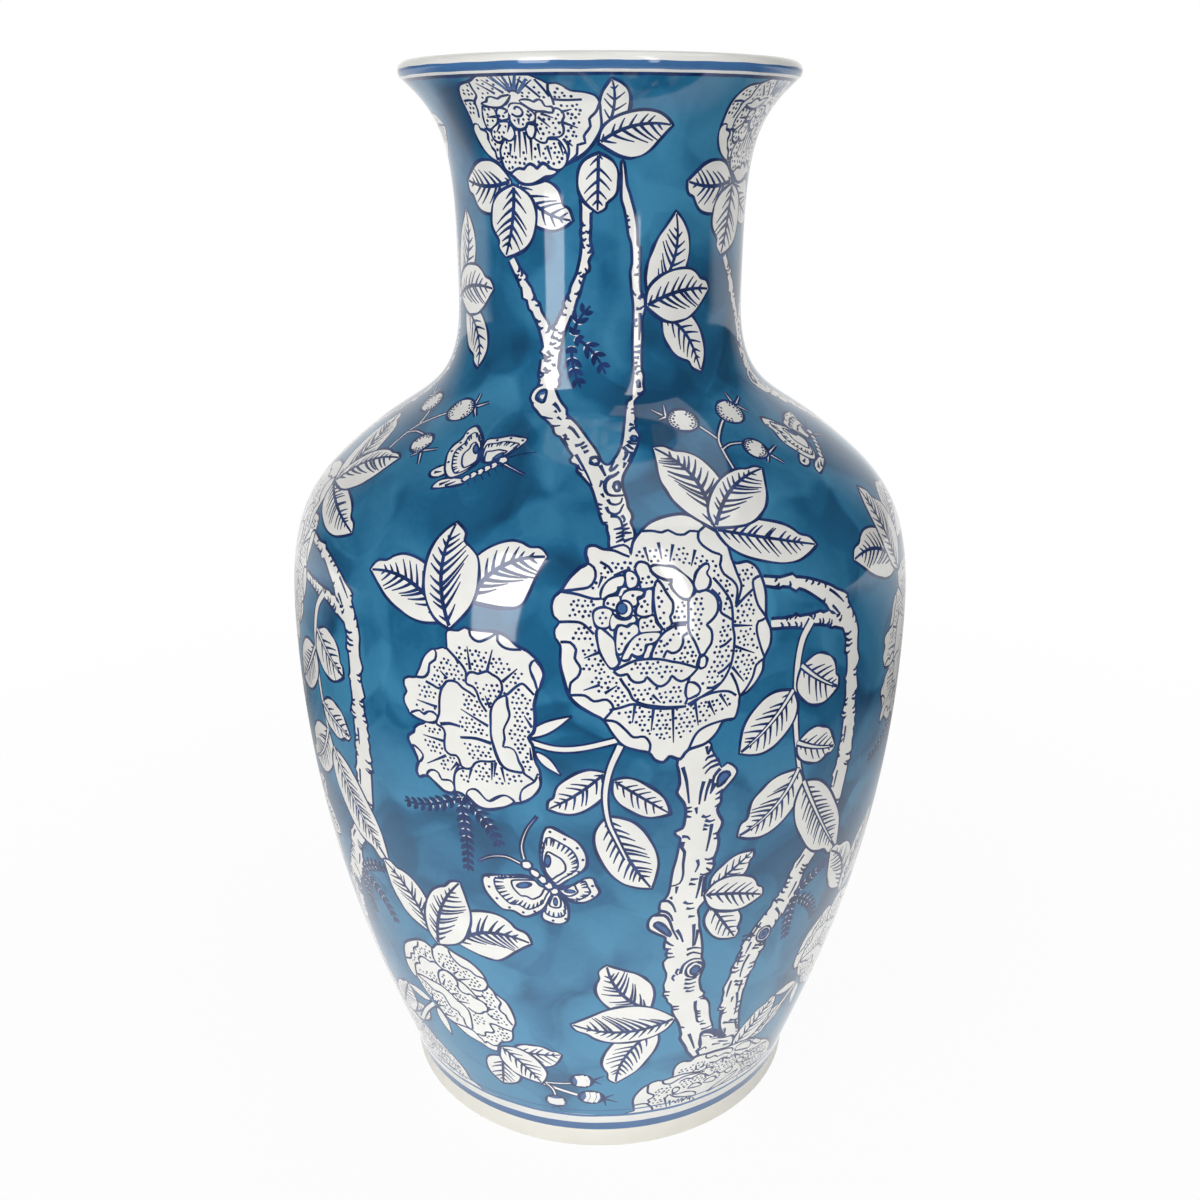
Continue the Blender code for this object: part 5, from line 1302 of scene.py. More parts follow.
    b.stem((35.9, 234.2), (33.8, 228.7), (32.8, 221), (32.6, 212), (32.8, 200), (33.6, 188.7),
           (34.8, 177.6), (36.9, 167.6), (39, 160), width=2.6, end=1.2)
    b.leaf((33.6, 219.2), (42.5, 206.2), 9, 9.5, -1, LEFT, "pale")
    b.leaf((32, 211), (22.3, 191.4), 8.8, 9.6, 1.5, 0, "pale")
    b.leaf((33.6, 190), (43, 182.6), 8, 6.3, -1, RIGHT, "pale")
    b.leaf((34.4, 179.2), (23.1, 157.6), 8.5, 11, 3.5, RIGHT, "pale")
    b.leaf((35.9, 173), (48.9, 132.6), 9.5, 10.5, -1.5, RIGHT, "pale")
    b.leaf((19, 137), (26.8, 150), 5, 6, 0, RIGHT)
    b.leaf((19.6, 128.5), (25.5, 110), 7, 6.5, 0, LEFT)
    b.leaf((18, 134.5), (30.1, 127.5), 8, 8, 1, LEFT)

    # Sprig under the great peony
    b.leaf((0.8, 189), (-8.3, 174), 7, 6.8, 1, RIGHT)
    b.leaf((2, 186), (11.3, 171.5), 5, 6.5)
    b.leaf((1.2, 172), (8.7, 140.5), 10, 9, -1.5)
    b.stem((3.1, 199), (1.5, 190), (0.8, 180), (1.3, 170), (2.7, 162), (4.3, 154), width=2.2, end=0.8)


def paint_mound(b):
    """Rocky mound at the foot of the trunk."""
    b.leaf((38, 41), (47.5, 54), 5, 5, 0)
    b.leaf((33, 40.5), (42.2, 64), 6, 8, 0, LEFT, reach=0.75)
    silhouette = (
        (8.7, 9), (8.9, 12), (8.6, 15.5), (8.3, 19), (8.5, 22.5), (9.4, 26), (10.6, 29), (11.7, 30.3),
        (12.6, 31.6), (14.2, 32.1), (15.2, 31.4), (16.8, 32.3), (17.6, 33.6), (17.4, 36.5), (17.7, 40),
        (18.7, 42), (20, 42.2), (21.4, 41.2), (22.3, 43), (23.8, 43.5), (25, 43.2), (27.5, 43.2),
        (30.5, 42.4), (33.5, 42), (36.5, 41.2), (39, 39.5), (41.5, 37), (44, 33.5), (47, 30), (49.5, 26),
        (52, 21), (53, 15), (54, 9))
    edges = (
        ((11.7, 30.2), (11.7, 27), (11.9, 24.3), (12.8, 23), (13.6, 21.6), (13.3, 20), (12.2, 18.8),
         (12.8, 17.2), (12.2, 16.2), (10.8, 16.6), (8.7, 16.2)),
        ((12.2, 16), (12.8, 14.6), (13.6, 12.6), (14, 10.8)),
        ((15.2, 31.4), (15.5, 29.4), (16.4, 28.3), (17.8, 28.2), (19.2, 29.8), (20.6, 30.9), (22.4, 31.2),
         (24.4, 30.6), (26.4, 30.2)),
        ((15.4, 31.6), (17.5, 32.4), (20, 33.1), (22.5, 32.4), (25, 31.4), (27.4, 32.2), (29, 30)),
        ((20, 28), (21.6, 29), (23, 28), (24.8, 29.4), (26.6, 28.2), (28.4, 25.4), (30.4, 26.2), (32, 23.6),
         (33.6, 24)),
        ((27, 35.6), (29, 34.4), (31, 35.4), (33, 33), (35, 33.6), (37, 31), (39, 31.4), (41, 28.6),
         (43.5, 28.6), (46, 28), (48.5, 26)),
        ((39, 21), (41, 23), (43.5, 21), (46, 22), (48.5, 19.5), (50.5, 19)),
        ((40, 15), (42.5, 16.6), (45, 14.4), (48, 15)))
    plain = (
        ((18.4, 22), (18.6, 24), (19.6, 24.2), (20.4, 22.6), (19.8, 20.8), (18.8, 20.4)),
        ((25.4, 42.4), (25.6, 40.2), (26.6, 39.2), (28, 39.6), (29, 38), (31, 38.4), (33, 36.4),
         (33.4, 38.8), (32, 40.8), (29, 42), (27, 42.6)),
        ((34.2, 37), (36, 35.4), (38, 34), (39.6, 33), (39.8, 36), (38.6, 38.6), (36.4, 39.8),
         (34.6, 39.4)),
        ((40, 36.4), (41.4, 33.6), (43.4, 31.4), (44.8, 32), (42.8, 35.2), (41, 37.4)),
        ((22.8, 21), (23.6, 23), (25, 23.4), (26.2, 22), (26.8, 20.4), (25.4, 20), (24, 20.6)),
        ((27.2, 21.6), (28.2, 23.4), (29.8, 23.6), (31, 22), (30.6, 19.8), (29, 20.2)),
        ((18, 20), (20, 18.8), (22.4, 18.8), (24.6, 17.4), (25.8, 15.4), (25.4, 13.8), (23.6, 14.6),
         (21, 16), (19.2, 17.6)),
        ((29.6, 13), (31.6, 15.6), (34, 17.4), (36.6, 18.8), (38.8, 19), (37.6, 16.8), (35, 14.8),
         (32.2, 13.4)),
        ((33.4, 24), (34.8, 25), (36, 23.8), (36, 21.6), (35, 20.8), (34, 22)),
        ((36.6, 28.6), (38, 28.4), (39.4, 26), (39, 24.2), (37.6, 25), (36.8, 26.8)))
    strokes = (
        ((23.6, 33.4), (23.2, 37.4)), ((25.2, 33.8), (25.5, 38)), ((16.6, 18.6), (17.8, 10.8)),
        ((18.2, 15.4), (18.8, 11.2)), ((26.6, 32.4), (26.4, 36)), ((17.6, 20), (16.6, 17)),
        ((21.8, 14.6), (22.2, 11)), ((24.2, 13.6), (24.6, 10.8)), ((31, 35), (31.6, 31)),
        ((35, 33.4), (36, 29.4)), ((27, 27.4), (27.6, 24)))
    fields = (
        ((14, 26), (17.6, 27.4), (18.4, 24), (18, 20.6), (14.4, 20.4), (13.8, 23)),
        ((18.4, 34), (19, 36.5), (22, 38), (24.5, 39), (26, 36), (27, 33), (24, 33), (20, 33.6)),
        ((19.5, 27.5), (24, 28), (27, 27), (30, 24.4), (33, 22), (31, 19), (27, 19.2), (22.4, 20.4),
         (20.6, 24)),
        ((26.6, 36), (33, 35.6), (38, 33), (42, 30), (46, 26), (40, 22), (34, 26.4), (29.4, 26), (27, 31)),
        ((13.4, 19), (16.2, 19), (16.6, 14), (16.4, 10.8), (14.4, 10.8), (13.2, 15)),
        ((18.4, 15.6), (22, 15), (26, 13), (26, 10.8), (18.6, 10.8)),
        ((40, 30), (46, 29), (51, 20), (51, 12), (40, 12), (40, 18), (38, 22)))
    b.flower(silhouette, edges, plain, (), strokes, fields, 0.75)


def paint_bands(b):
    """Lines and plain bands round the foot and the mouth."""
    b.ring(13.2, 14.0, "mid", 0.1)
    b.ring(-2, 10.6, "reserve", 0)
    b.ring(9.0, 10.6, "cobalt")
    b.ring(-2, 4.5, "cobalt", 0.06)
    b.ring(440.0, 441.5, "ink", 0.06)
    b.ring(441.5, 456, "reserve", 0)
    b.ring(442.7, 445.5, "cobalt", 0.06)


def paint_vase(wall):
    """The whole painting, from the back layer to the front one."""
    brush = Brush(wall)
    for layer in (paint_neck, paint_trunk, paint_mound, paint_body_left, paint_lower_left, paint_main_peony,
                  paint_shoulder, paint_front_butterfly, paint_bands):
        layer(brush)
    return brush


def triangles(points, edges):
    """Flat points and triangle corners of a sheet cut along its edges."""
    found = delaunay_2d_cdt([Vector((p.real, p.imag)) for p in points], edges, [], 0, MEET, False)
    return np.array([complex(*p) for p in found[0]]), np.array(found[2])


def painted(middle, laid):
    """Paint of each triangle by its middle: the last shape laid over it, or the wash."""
    paints = np.full(len(middle), PAINTS.index("wash"))
    order = np.argsort(middle.real)
    across = middle.real[order]
    for paint, outline in laid:
        first, last = np.searchsorted(across, (outline.real.min(), outline.real.max()))
        near = order[first:last]
        height = middle.imag[near]
        near = near[(height >= outline.imag.min()) & (height <= outline.imag.max())]
        paints[near[inside(middle[near], outline)]] = paint
    return paints


def shown_edges(corners, paints):
    """Edges that part two paints, as pairs of points."""
    sides = np.sort(corners[:, [[0, 1], [1, 2], [2, 0]]].reshape(-1, 2), axis=1)
    sides, owner = np.unique(sides, axis=0, return_inverse=True)
    low = np.full(len(sides), len(PAINTS))
    high = np.full(len(sides), -1)
    np.minimum.at(low, owner.ravel(), np.repeat(paints, 3))
    np.maximum.at(high, owner.ravel(), np.repeat(paints, 3))
    return sides[low < high]


def cut_sheet(wall, brush):
    """Flat points, triangle corners and triangle paints of one repeat of the painting.

    It is cut along every shape first, and then again only along the edges that still show.
    """
    left = np.radians(REPEAT_START) * FLAT_RADIUS
    period = 2 * pi * FLAT_RADIUS / REPEATS
    points, edges, laid = [], [], []

    def draw(run, closed=False):
        first = len(points)
        points.extend(run.tolist())
        edges.extend((index, index + 1) for index in range(first, len(points) - 1))
        if closed:
            edges.append((len(points) - 1, first))

    for paint, outline in brush.shapes:
        for shift in (-period, 0, period):
            moved = outline + shift
            if moved.real.max() > left and moved.real.min() < left + period:
                laid.append((PAINTS.index(paint), moved))
                draw(moved, True)
    stops = [*wall.seams[:-1], wall.mouth_end, wall.seams[-1]]
    steps = [ROW_STEP] * (len(stops) - 2) + [LIP_STEP]
    lengths = np.unique(np.concatenate([np.linspace(low, high, int((high - low) / step) + 2)
                                        for low, high, step in zip(stops, stops[1:], steps)]))
    rows = np.interp(lengths, wall.length, wall.rise)
    columns = np.linspace(left, left + period, COLUMNS + 1)
    seams = rows[np.isin(lengths, wall.seams)]
    borders = (left, left + period)
    plain = rows[~np.isin(lengths, wall.seams)]
    grid = (columns[1:-1] + 1j * plain[:, None]).ravel().tolist()
    points.extend(grid)
    for row in seams:
        draw(columns + 1j * row)
    for border in borders:
        draw(border + 1j * rows)
    flat, corners = triangles(points, edges)
    shown = shown_edges(corners, painted(flat[corners].mean(1), laid))
    used = np.unique(shown)
    points = flat[used].tolist() + grid
    edges = np.searchsorted(used, shown).tolist()
    inner = (flat.real > left - MEET) & (flat.real < left + period + MEET)
    inner &= (flat.imag > -MEET) & (flat.imag < rows[-1] + MEET)
    for row in seams:
        run = flat[inner & (np.abs(flat.imag - row) < MEET / 2)]
        draw(run[np.argsort(run.real)])
    for border in borders:
        run = flat[inner & (np.abs(flat.real - border) < MEET / 2)]
        draw(run[np.argsort(run.imag)])
    flat, corners = triangles(points, edges)
    middle = flat[corners].mean(1)
    kept = (middle.real > left) & (middle.real < left + period)
    kept &= (middle.imag > 0) & (middle.imag < rows[-1])
    return flat, corners[kept], painted(middle[kept], laid)


def turn_in(bm, ring, places):
    """Draws an open ring of edges over (radius + 1j * height) places in mm, and gives its new ring."""
    for place in places:
        made = bmesh.ops.extrude_edge_only(bm, edges=ring)["geom"]
        for part in made:
            if isinstance(part, bmesh.types.BMVert):
                turn = Vector(part.co.xy).normalized() * place.real / MM
                part.co = (turn.x, turn.y, place.imag / MM)
            elif isinstance(part, bmesh.types.BMFace):
                part.material_index = PAINTS.index("inner")
        ring = [part for part in made if isinstance(part, bmesh.types.BMEdge) and part.is_boundary]
    return ring


def inner_path(wall, low, high):
    """Places that close a section inwards: its upper end and inner face, and its lower end."""
    upper = [] if high > wall.mouth_end else [(wall.point(high) + wall.inner(high)) / 2 - 1j * CAP_DIP]
    top = min(high, wall.mouth_end)
    rows = np.linspace(top, low, int((top - low) / INNER_STEP) + 2)
    face = [wall.inner(length) for length in rows]
    if high > wall.mouth_end:
        face = face[1:]
    lower = [(wall.point(low) + wall.inner(low)) / 2 + 1j * CAP_DIP]
    return upper + face, lower


def skin_frame(wall, places):
    """Length up the wall and outward direction of skin places, given as radius + 1j * height."""
    face = slice(0, 4 * wall.SAMPLES + 1)
    along = np.gradient(wall.line[face])
    outward = -1j * along / np.abs(along)
    height, heights = places.imag, wall.line[face].imag
    length = np.interp(height, heights, wall.length[face])
    aim = np.interp(height, heights, outward.real) + 1j * np.interp(height, heights, outward.imag)
    lip = height > heights[-1] + 1e-3
    spoke = places - wall.lip_centre
    turned = np.angle(spoke / (-1j * wall.flare)) % (2 * pi)
    length = np.where(lip, wall.mouth_end + turned * wall.lip_round, length)
    aim = np.where(lip, spoke, aim)
    return length, aim / np.abs(aim)


def finish_skin(mesh, wall, low, high, path):
    """Smooth normals for the skin, and a cylindrical map with the inside above the skin."""
    count = len(mesh.loops)
    corner = np.empty(count, int)
    mesh.loops.foreach_get("vertex_index", corner)
    position = np.empty(len(mesh.vertices) * 3)
    mesh.vertices.foreach_get("co", position)
    position = position.reshape(-1, 3)[corner] * MM
    sides = np.empty(len(mesh.polygons), int)
    mesh.polygons.foreach_get("loop_total", sides)
    paint = np.empty(len(mesh.polygons), int)
    mesh.polygons.foreach_get("material_index", paint)
    centre = np.empty(len(mesh.polygons) * 3)
    mesh.polygons.foreach_get("center", centre)
    centre = np.repeat(centre.reshape(-1, 3), sides, axis=0)
    skin = np.repeat(paint, sides) != PAINTS.index("inner")
    spoke = position[:, 0] + 1j * position[:, 1]
    hub = centre[:, 0] + 1j * centre[:, 1]
    place = np.abs(spoke) + 1j * position[:, 2]
    length, aim = skin_frame(wall, place)
    turn = spoke / np.abs(spoke)
    normal = np.stack([turn.real * aim.real, turn.imag * aim.real, aim.imag], 1) * skin[:, None]
    mesh.normals_split_custom_set(normal)
    nearest = np.argmin(np.abs(place[:, None] - np.array(path)[None]), axis=1)
    across = (np.angle(hub) + np.angle(spoke / hub)) / (2 * pi) + 0.5
    up = np.where(skin, (length - low) / (high - low) * SKIN_SHARE,
                  1 - nearest / (len(path) - 1) * INSIDE_SHARE)
    uv = mesh.uv_layers.new(name="OFBake")
    uv.data.foreach_set("uv", np.stack([across * UV_WIDTH + UV_MARGIN, up], 1).ravel())


def wrap_section(name, wall, sheet, low, high, materials):
    """One painted section of the wall: its skin from the sheet, and its inside behind it."""
    flat, corners, paints = sheet
    middle = np.interp(flat[corners].imag.mean(1), wall.rise, wall.length)
    picked = (middle > low) & (middle < high)
    used, local = np.unique(corners[picked], return_inverse=True)
    point = wall.point(np.interp(flat[used].imag, wall.rise, wall.length)) / MM
    quarters = [flat[used].real / FLAT_RADIUS - pi / 2 + step * 2 * pi / REPEATS for step in range(REPEATS)]
    skin = [np.stack([point.real * np.cos(turn), point.real * np.sin(turn), point.imag], 1)
            for turn in quarters]
    faces = [local.reshape(-1, 3) + step * len(used) for step in range(REPEATS)]
    mesh = bpy.data.meshes.new(name)
    mesh.from_pydata(np.concatenate(skin), [], np.concatenate(faces))
    mesh.polygons.foreach_set("material_index", np.tile(paints[picked], REPEATS))
    bm = bmesh.new()
    bm.from_mesh(mesh)
    bmesh.ops.remove_doubles(bm, verts=bm.verts, dist=MERGE)
    halfway = wall.point((low + min(high, wall.mouth_end)) / 2).imag / MM
    open_edges = [edge for edge in bm.edges if edge.is_boundary]
    upper = [edge for edge in open_edges if edge.verts[0].co.z > halfway]
    lower = [edge for edge in open_edges if edge.verts[0].co.z < halfway]
    down, over = inner_path(wall, low, high)
    joined = bmesh.ops.bridge_loops(bm, edges=turn_in(bm, upper, down) + turn_in(bm, lower, over))
    for face in joined["faces"]:
        face.material_index = PAINTS.index("inner")
    bmesh.ops.recalc_face_normals(bm, faces=bm.faces)
    for face in bm.faces:
        face.smooth = True
    bm.to_mesh(mesh)
    bm.free()
    for material in materials:
        mesh.materials.append(material)
    mesh.set_sharp_from_angle(angle=radians(40))
    finish_skin(mesh, wall, low, high, [wall.point(high), *down, *over, wall.point(low)])
    return mesh


def turned_piece(name, section, closed, material):
    """A piece spun about the vase's axis from its section, a list of radius + 1j * height in metres."""
    bm = bmesh.new()
    verts = [bm.verts.new((place.real, 0, place.imag)) for place in section]
    pairs = list(zip(verts, verts[1:])) + ([(verts[-1], verts[0])] if closed else [])
    outline = [bm.edges.new(pair) for pair in pairs]
    bmesh.ops.spin(bm, geom=verts + outline, axis=(0, 0, 1), angle=2 * pi, steps=TURN_STEPS, use_merge=True)
    bmesh.ops.remove_doubles(bm, verts=bm.verts, dist=MERGE)
    bmesh.ops.recalc_face_normals(bm, faces=bm.faces)
    for face in bm.faces:
        face.smooth = True
    mesh = bpy.data.meshes.new(name)
    bm.to_mesh(mesh)
    bm.free()
    mesh.materials.append(material)
    mesh.set_sharp_from_angle(angle=radians(40))
    return mesh


def corner(centre, radius, first, last, steps=6):
    """Points of a rounded corner between two angles in degrees."""
    return list(centre + radius * np.exp(1j * np.radians(np.linspace(first, last, steps + 1))))


def show(name, mesh):
    """Places a finished piece on the frame, instead of the section that it stands for."""
    piece = bpy.data.objects.new(name + "_glazed", mesh)
    bpy.context.scene.collection.objects.link(piece)
    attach(piece, "root")
    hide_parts(name)
    return piece


class Graph:
    """Adds linked nodes to a node tree."""

    def __init__(self, tree):
        self.tree = tree

    def add(self, kind, inputs=None, **settings):
        """A node with its settings, and its inputs given as values or as sockets to link."""
        node = self.tree.nodes.new(kind if kind.startswith("NodeGroup") else "ShaderNode" + kind)
        for name, value in settings.items():
            setattr(node, name, value)
        for socket, value in (inputs or {}).items():
            if isinstance(value, bpy.types.NodeSocket):
                self.tree.links.new(value, node.inputs[socket])
            else:
                node.inputs[socket].default_value = value
        return node

    def blend(self, share, first, second, mode="MIX"):
        """A mix of two colours."""
        node = self.add("Mix", {0: share, 6: first, 7: second}, data_type="RGBA", blend_type=mode)
        return node.outputs[2]

    def math(self, operation, first, second=0.0, third=0.0):
        """A sum on values."""
        return self.add("Math", {0: first, 1: second, 2: third}, operation=operation).outputs[0]

    def vector(self, operation, first, second):
        """A sum on vectors, or a vector's length along another."""
        node = self.add("VectorMath", {0: first, "Scale" if operation == "SCALE" else 1: second},
                        operation=operation)
        return node.outputs["Value" if operation == "DOT_PRODUCT" else "Vector"]

    def spread(self, value, low, high, bottom=0.0, top=1.0):
        """A value stretched from one range to another and kept inside it."""
        node = self.add("MapRange",
                        {"Value": value, "From Min": low, "From Max": high, "To Min": bottom,
                         "To Max": top})
        return node.outputs["Result"]


def group_of(name, inputs, outputs):
    """A new shader node group, its graph and its inputs."""
    tree = bpy.data.node_groups.new(name, "ShaderNodeTree")
    for socket, kind in inputs:
        tree.interface.new_socket(socket, in_out="INPUT", socket_type="NodeSocket" + kind)
    for socket, kind in outputs:
        tree.interface.new_socket(socket, in_out="OUTPUT", socket_type="NodeSocket" + kind)
    graph = Graph(tree)
    return tree, graph, graph.add("NodeGroupInput").outputs


def brush_wash_group():
    """Overlapping brush marks of a cobalt wash, each darker to one side, in three tones."""
    inputs = (("Place", "Vector"), ("Deep", "Color"), ("Plain", "Color"), ("Thin", "Color"))
    tree, graph, given = group_of("Brush Wash", inputs, (("Colour", "Color"),))
    middle = (0.5, 0.5, 0.5)
    sway = graph.add("TexNoise", {"Vector": given["Place"], "Scale": 20.0, "Detail": 1.5}).outputs["Color"]
    sway = graph.vector("SCALE", graph.vector("SUBTRACT", sway, middle), 0.07)
    place = graph.vector("ADD", given["Place"], sway)
    tone = graph.add("TexNoise",
                     {"Vector": place, "Scale": 13.0, "Detail": 2.5, "Distortion": 0.8}).outputs[0]
    for scale, offset, weight in ((16.0, 0.0, 0.22), (26.0, 3.7, 0.3), (44.0, 7.1, 0.16)):
        moved = graph.vector("ADD", place, (offset, offset, offset))
        marks = graph.add("TexVoronoi", {"Vector": moved, "Scale": scale, "Smoothness": 0.22},
                          feature="SMOOTH_F1").outputs
        away = graph.vector("SUBTRACT", moved, marks["Position"])
        lean = graph.vector("DOT_PRODUCT", away, graph.vector("SUBTRACT", marks["Color"], middle))
        level = graph.add("SeparateColor", {0: marks["Color"]}).outputs[0]
        mark = graph.math("MULTIPLY_ADD", lean, 1.4 * scale, level)
        tone = graph.math("MULTIPLY_ADD", mark, weight, tone)
    rim = graph.add("TexVoronoi", {"Vector": place, "Scale": 15.0},
                    feature="DISTANCE_TO_EDGE").outputs["Distance"]
    pooled = graph.add("TexNoise", {"Vector": given["Place"], "Scale": 16.0}).outputs[0]
    pooled = graph.math("MULTIPLY", graph.spread(rim, 0.0, 0.16, 0.3, 0.0), graph.spread(pooled, 0.5, 0.62))
    tone = graph.math("SUBTRACT", tone, pooled)
    grain = graph.add("TexNoise", {"Vector": given["Place"], "Scale": 420.0, "Detail": 3.0}).outputs[0]
    tone = graph.math("MULTIPLY_ADD", grain, 0.12, tone)
    # The wash is made lighter towards the foot, by height alone.
    height = graph.add("SeparateXYZ", {0: given["Place"]}).outputs["Z"]
    tone = graph.math("ADD", tone, graph.spread(height, 0.0, 0.29, 0.22, 0.0))
    deep = graph.blend(graph.spread(tone, 0.46, 0.78), given["Deep"], given["Plain"])
    colour = graph.blend(graph.spread(tone, 0.74, 1.14), deep, given["Thin"])
    graph.add("NodeGroupOutput", {"Colour": colour})
    return tree


def uneven_group():
    """Soft uneven share between two colours, as a paint's strength has."""
    inputs = (("Place", "Vector"), ("Scale", "Float"), ("First", "Color"), ("Second", "Color"))
    tree, graph, given = group_of("Uneven Paint", inputs, (("Colour", "Color"),))
    noise = graph.add("TexNoise",
                      {"Vector": given["Place"], "Scale": given["Scale"], "Detail": 3.0}).outputs[0]
    graph.add("NodeGroupOutput",
              {"Colour": graph.blend(graph.spread(noise, 0.35, 0.68), given["First"], given["Second"])})
    return tree


def glaze_waver_group():
    """Height of a glaze that ran a little in the kiln."""
    tree, graph, given = group_of("Glaze Waver", (("Place", "Vector"),), (("Height", "Float"),))
    swell = graph.add("TexNoise", {"Vector": given["Place"], "Scale": 22.0, "Detail": 1.0}).outputs[0]
    ripple = graph.add("TexNoise", {"Vector": given["Place"], "Scale": 95.0, "Detail": 1.0}).outputs[0]
    graph.add("NodeGroupOutput", {"Height": graph.math("MULTIPLY_ADD", ripple, 0.12, swell)})
    return tree


def shared_group(name, make):
    """A node group, made the first time that a material asks for it."""
    return bpy.data.node_groups.get(name) or make()


def glazed_paint(name, colours, scale=None, roughness=GLAZE_ROUGHNESS, bump=GLAZE_BUMP):
    """A paint under clear glaze: a brushed wash of three colours, or an uneven coat of two."""
    material = bpy.data.materials.new(name)
    material.use_nodes = True
    graph = Graph(material.node_tree)
    place = graph.add("TexCoord").outputs["Object"]
    colours = [(*colour, 1.0) for colour in colours]
    if scale is None:
        coat = graph.add("Group", node_tree=shared_group("Brush Wash", brush_wash_group))
        names = ("Deep", "Plain", "Thin")
    else:
        coat = graph.add("Group", node_tree=shared_group("Uneven Paint", uneven_group))
        coat.inputs["Scale"].default_value = scale
        names = ("First", "Second")
    graph.tree.links.new(place, coat.inputs["Place"])
    for socket, colour in zip(names, colours):
        coat.inputs[socket].default_value = colour
    waver = graph.add("Group", {"Place": place}, node_tree=shared_group("Glaze Waver", glaze_waver_group))
    relief = graph.add("Bump", {"Height": waver.outputs[0], "Strength": 1.0, "Distance": bump})
    shader = material.node_tree.nodes["Principled BSDF"]
    graph.tree.links.new(coat.outputs[0], shader.inputs["Base Color"])
    graph.tree.links.new(relief.outputs[0], shader.inputs["Normal"])
    shader.inputs["Roughness"].default_value = roughness
    shader.inputs["IOR"].default_value = GLAZE_IOR
    return material


def shade(colour, factor):
    """A colour made darker or lighter."""
    return tuple(min(1.0, part * factor) for part in colour)


def wall_paints(colours):
    """The wall's materials, in the order of PAINTS."""
    return [
        glazed_paint("cobalt_wash", (colours.wash_deep, colours.wash_mid, colours.wash_light)),
        glazed_paint("white_reserve", (colours.reserve, shade(colours.reserve, 0.93)), 60.0),
        glazed_paint("dark_ink", (colours.ink, colours.ink_thin), 160.0),
        glazed_paint("mid_blue", (colours.mid, shade(colours.mid, 1.2)), 140.0),
        glazed_paint("band_blue", (colours.cobalt, shade(colours.cobalt, 1.15)), 90.0),
        glazed_paint("inner_white", (colours.inner, shade(colours.inner, 0.95)), 40.0),
    ]


class VASE_OT_wall(bpy.types.Operator):
    """Builds the four painted sections of the wall"""
    bl_idname = "vase.wall"
    bl_label = "Painted Wall"

    def execute(self, context):
        wall = Wall(context.scene.vase_shape)
        sheet = cut_sheet(wall, paint_vase(wall))
        materials = wall_paints(context.scene.vase_colours)
        names = ("lower_body", "shoulder", "neck", "mouth_rim")
        for name, low, high in zip(names, wall.seams, wall.seams[1:]):
            show(name, wrap_section(name, wall, sheet, low, high, materials))
        return {"FINISHED"}


class VASE_OT_foot(bpy.types.Operator):
    """Builds the turned foot ring"""
    bl_idname = "vase.foot"
    bl_label = "Foot Ring"

    def execute(self, context):
        shape, colours = context.scene.vase_shape, context.scene.vase_colours
        radius = shape.base_radius - shape.foot_step
        edge_centre = complex(radius - shape.foot_taper - shape.foot_edge, shape.foot_edge)
        bore = edge_centre.real - shape.foot_seat - shape.foot_chamfer
        top = shape.foot_height - JOINT_GAP
        pocket = Wall(shape).inner(0.0).real / MM
        section = [complex(pocket, top), complex(radius, top)]
        section += corner(edge_centre, shape.foot_edge, 0, -90)
        section += [complex(bore + shape.foot_chamfer, 0), complex(bore, shape.foot_chamfer),
                    complex(bore, shape.floor_recess), complex(pocket, shape.floor_recess)]
        clay = glazed_paint("foot_clay", (colours.clay, shade(colours.clay, 0.95)), 70.0, CLAY_ROUGHNESS,
                            GLAZE_BUMP / 3)
        show("foot_ring", turned_piece("foot_ring", section, True, clay))
        return {"FINISHED"}


class VASE_OT_floor_disc(bpy.types.Operator):
    """Builds the dished floor disc inside the foot"""
    bl_idname = "vase.floor_disc"
    bl_label = "Base Floor"

    def execute(self, context):
        shape, colours = context.scene.vase_shape, context.scene.vase_colours
        radius = Wall(shape).inner(0.0).real / MM - SEAT_GAP
        under = shape.floor_recess + SEAT_GAP
        top = under + shape.floor_thickness
        bevel = FLOOR_BEVEL
        reach = radius - 2 * bevel
        bowl = (reach ** 2 + shape.floor_dish ** 2) / (2 * shape.floor_dish)
        half = np.degrees(np.arccos(1 - shape.floor_dish / bowl))
        dish = corner(complex(0, top - shape.floor_dish + bowl), bowl, -90, -90 + half, 10)
        dish[0] = complex(0, dish[0].imag)
        section = dish + [complex(radius - bevel, top), complex(radius, top - bevel),
                          complex(radius, under + bevel),
                          complex(radius - bevel, under), complex(0, under)]
        white = glazed_paint("floor_white", (colours.inner, shade(colours.inner, 0.94)), 40.0, 0.12)
        show("base_floor", turned_piece("base_floor", section, False, white))
        return {"FINISHED"}


def softbox(name, place, target, wide, tall, power, mirrored=True):
    """A soft rectangular lamp aimed at a point, which the glaze mirrors or not."""
    lamp = bpy.data.lights.new(name, "AREA")
    lamp.shape = "RECTANGLE"
    lamp.size = wide
    lamp.size_y = tall
    lamp.energy = power
    holder = bpy.data.objects.new(name, lamp)
    bpy.context.scene.collection.objects.link(holder)
    holder.location = place
    holder.rotation_euler = (Vector(target) - Vector(place)).to_track_quat("-Z", "Y").to_euler()
    holder.visible_camera = False
    holder.visible_glossy = mirrored


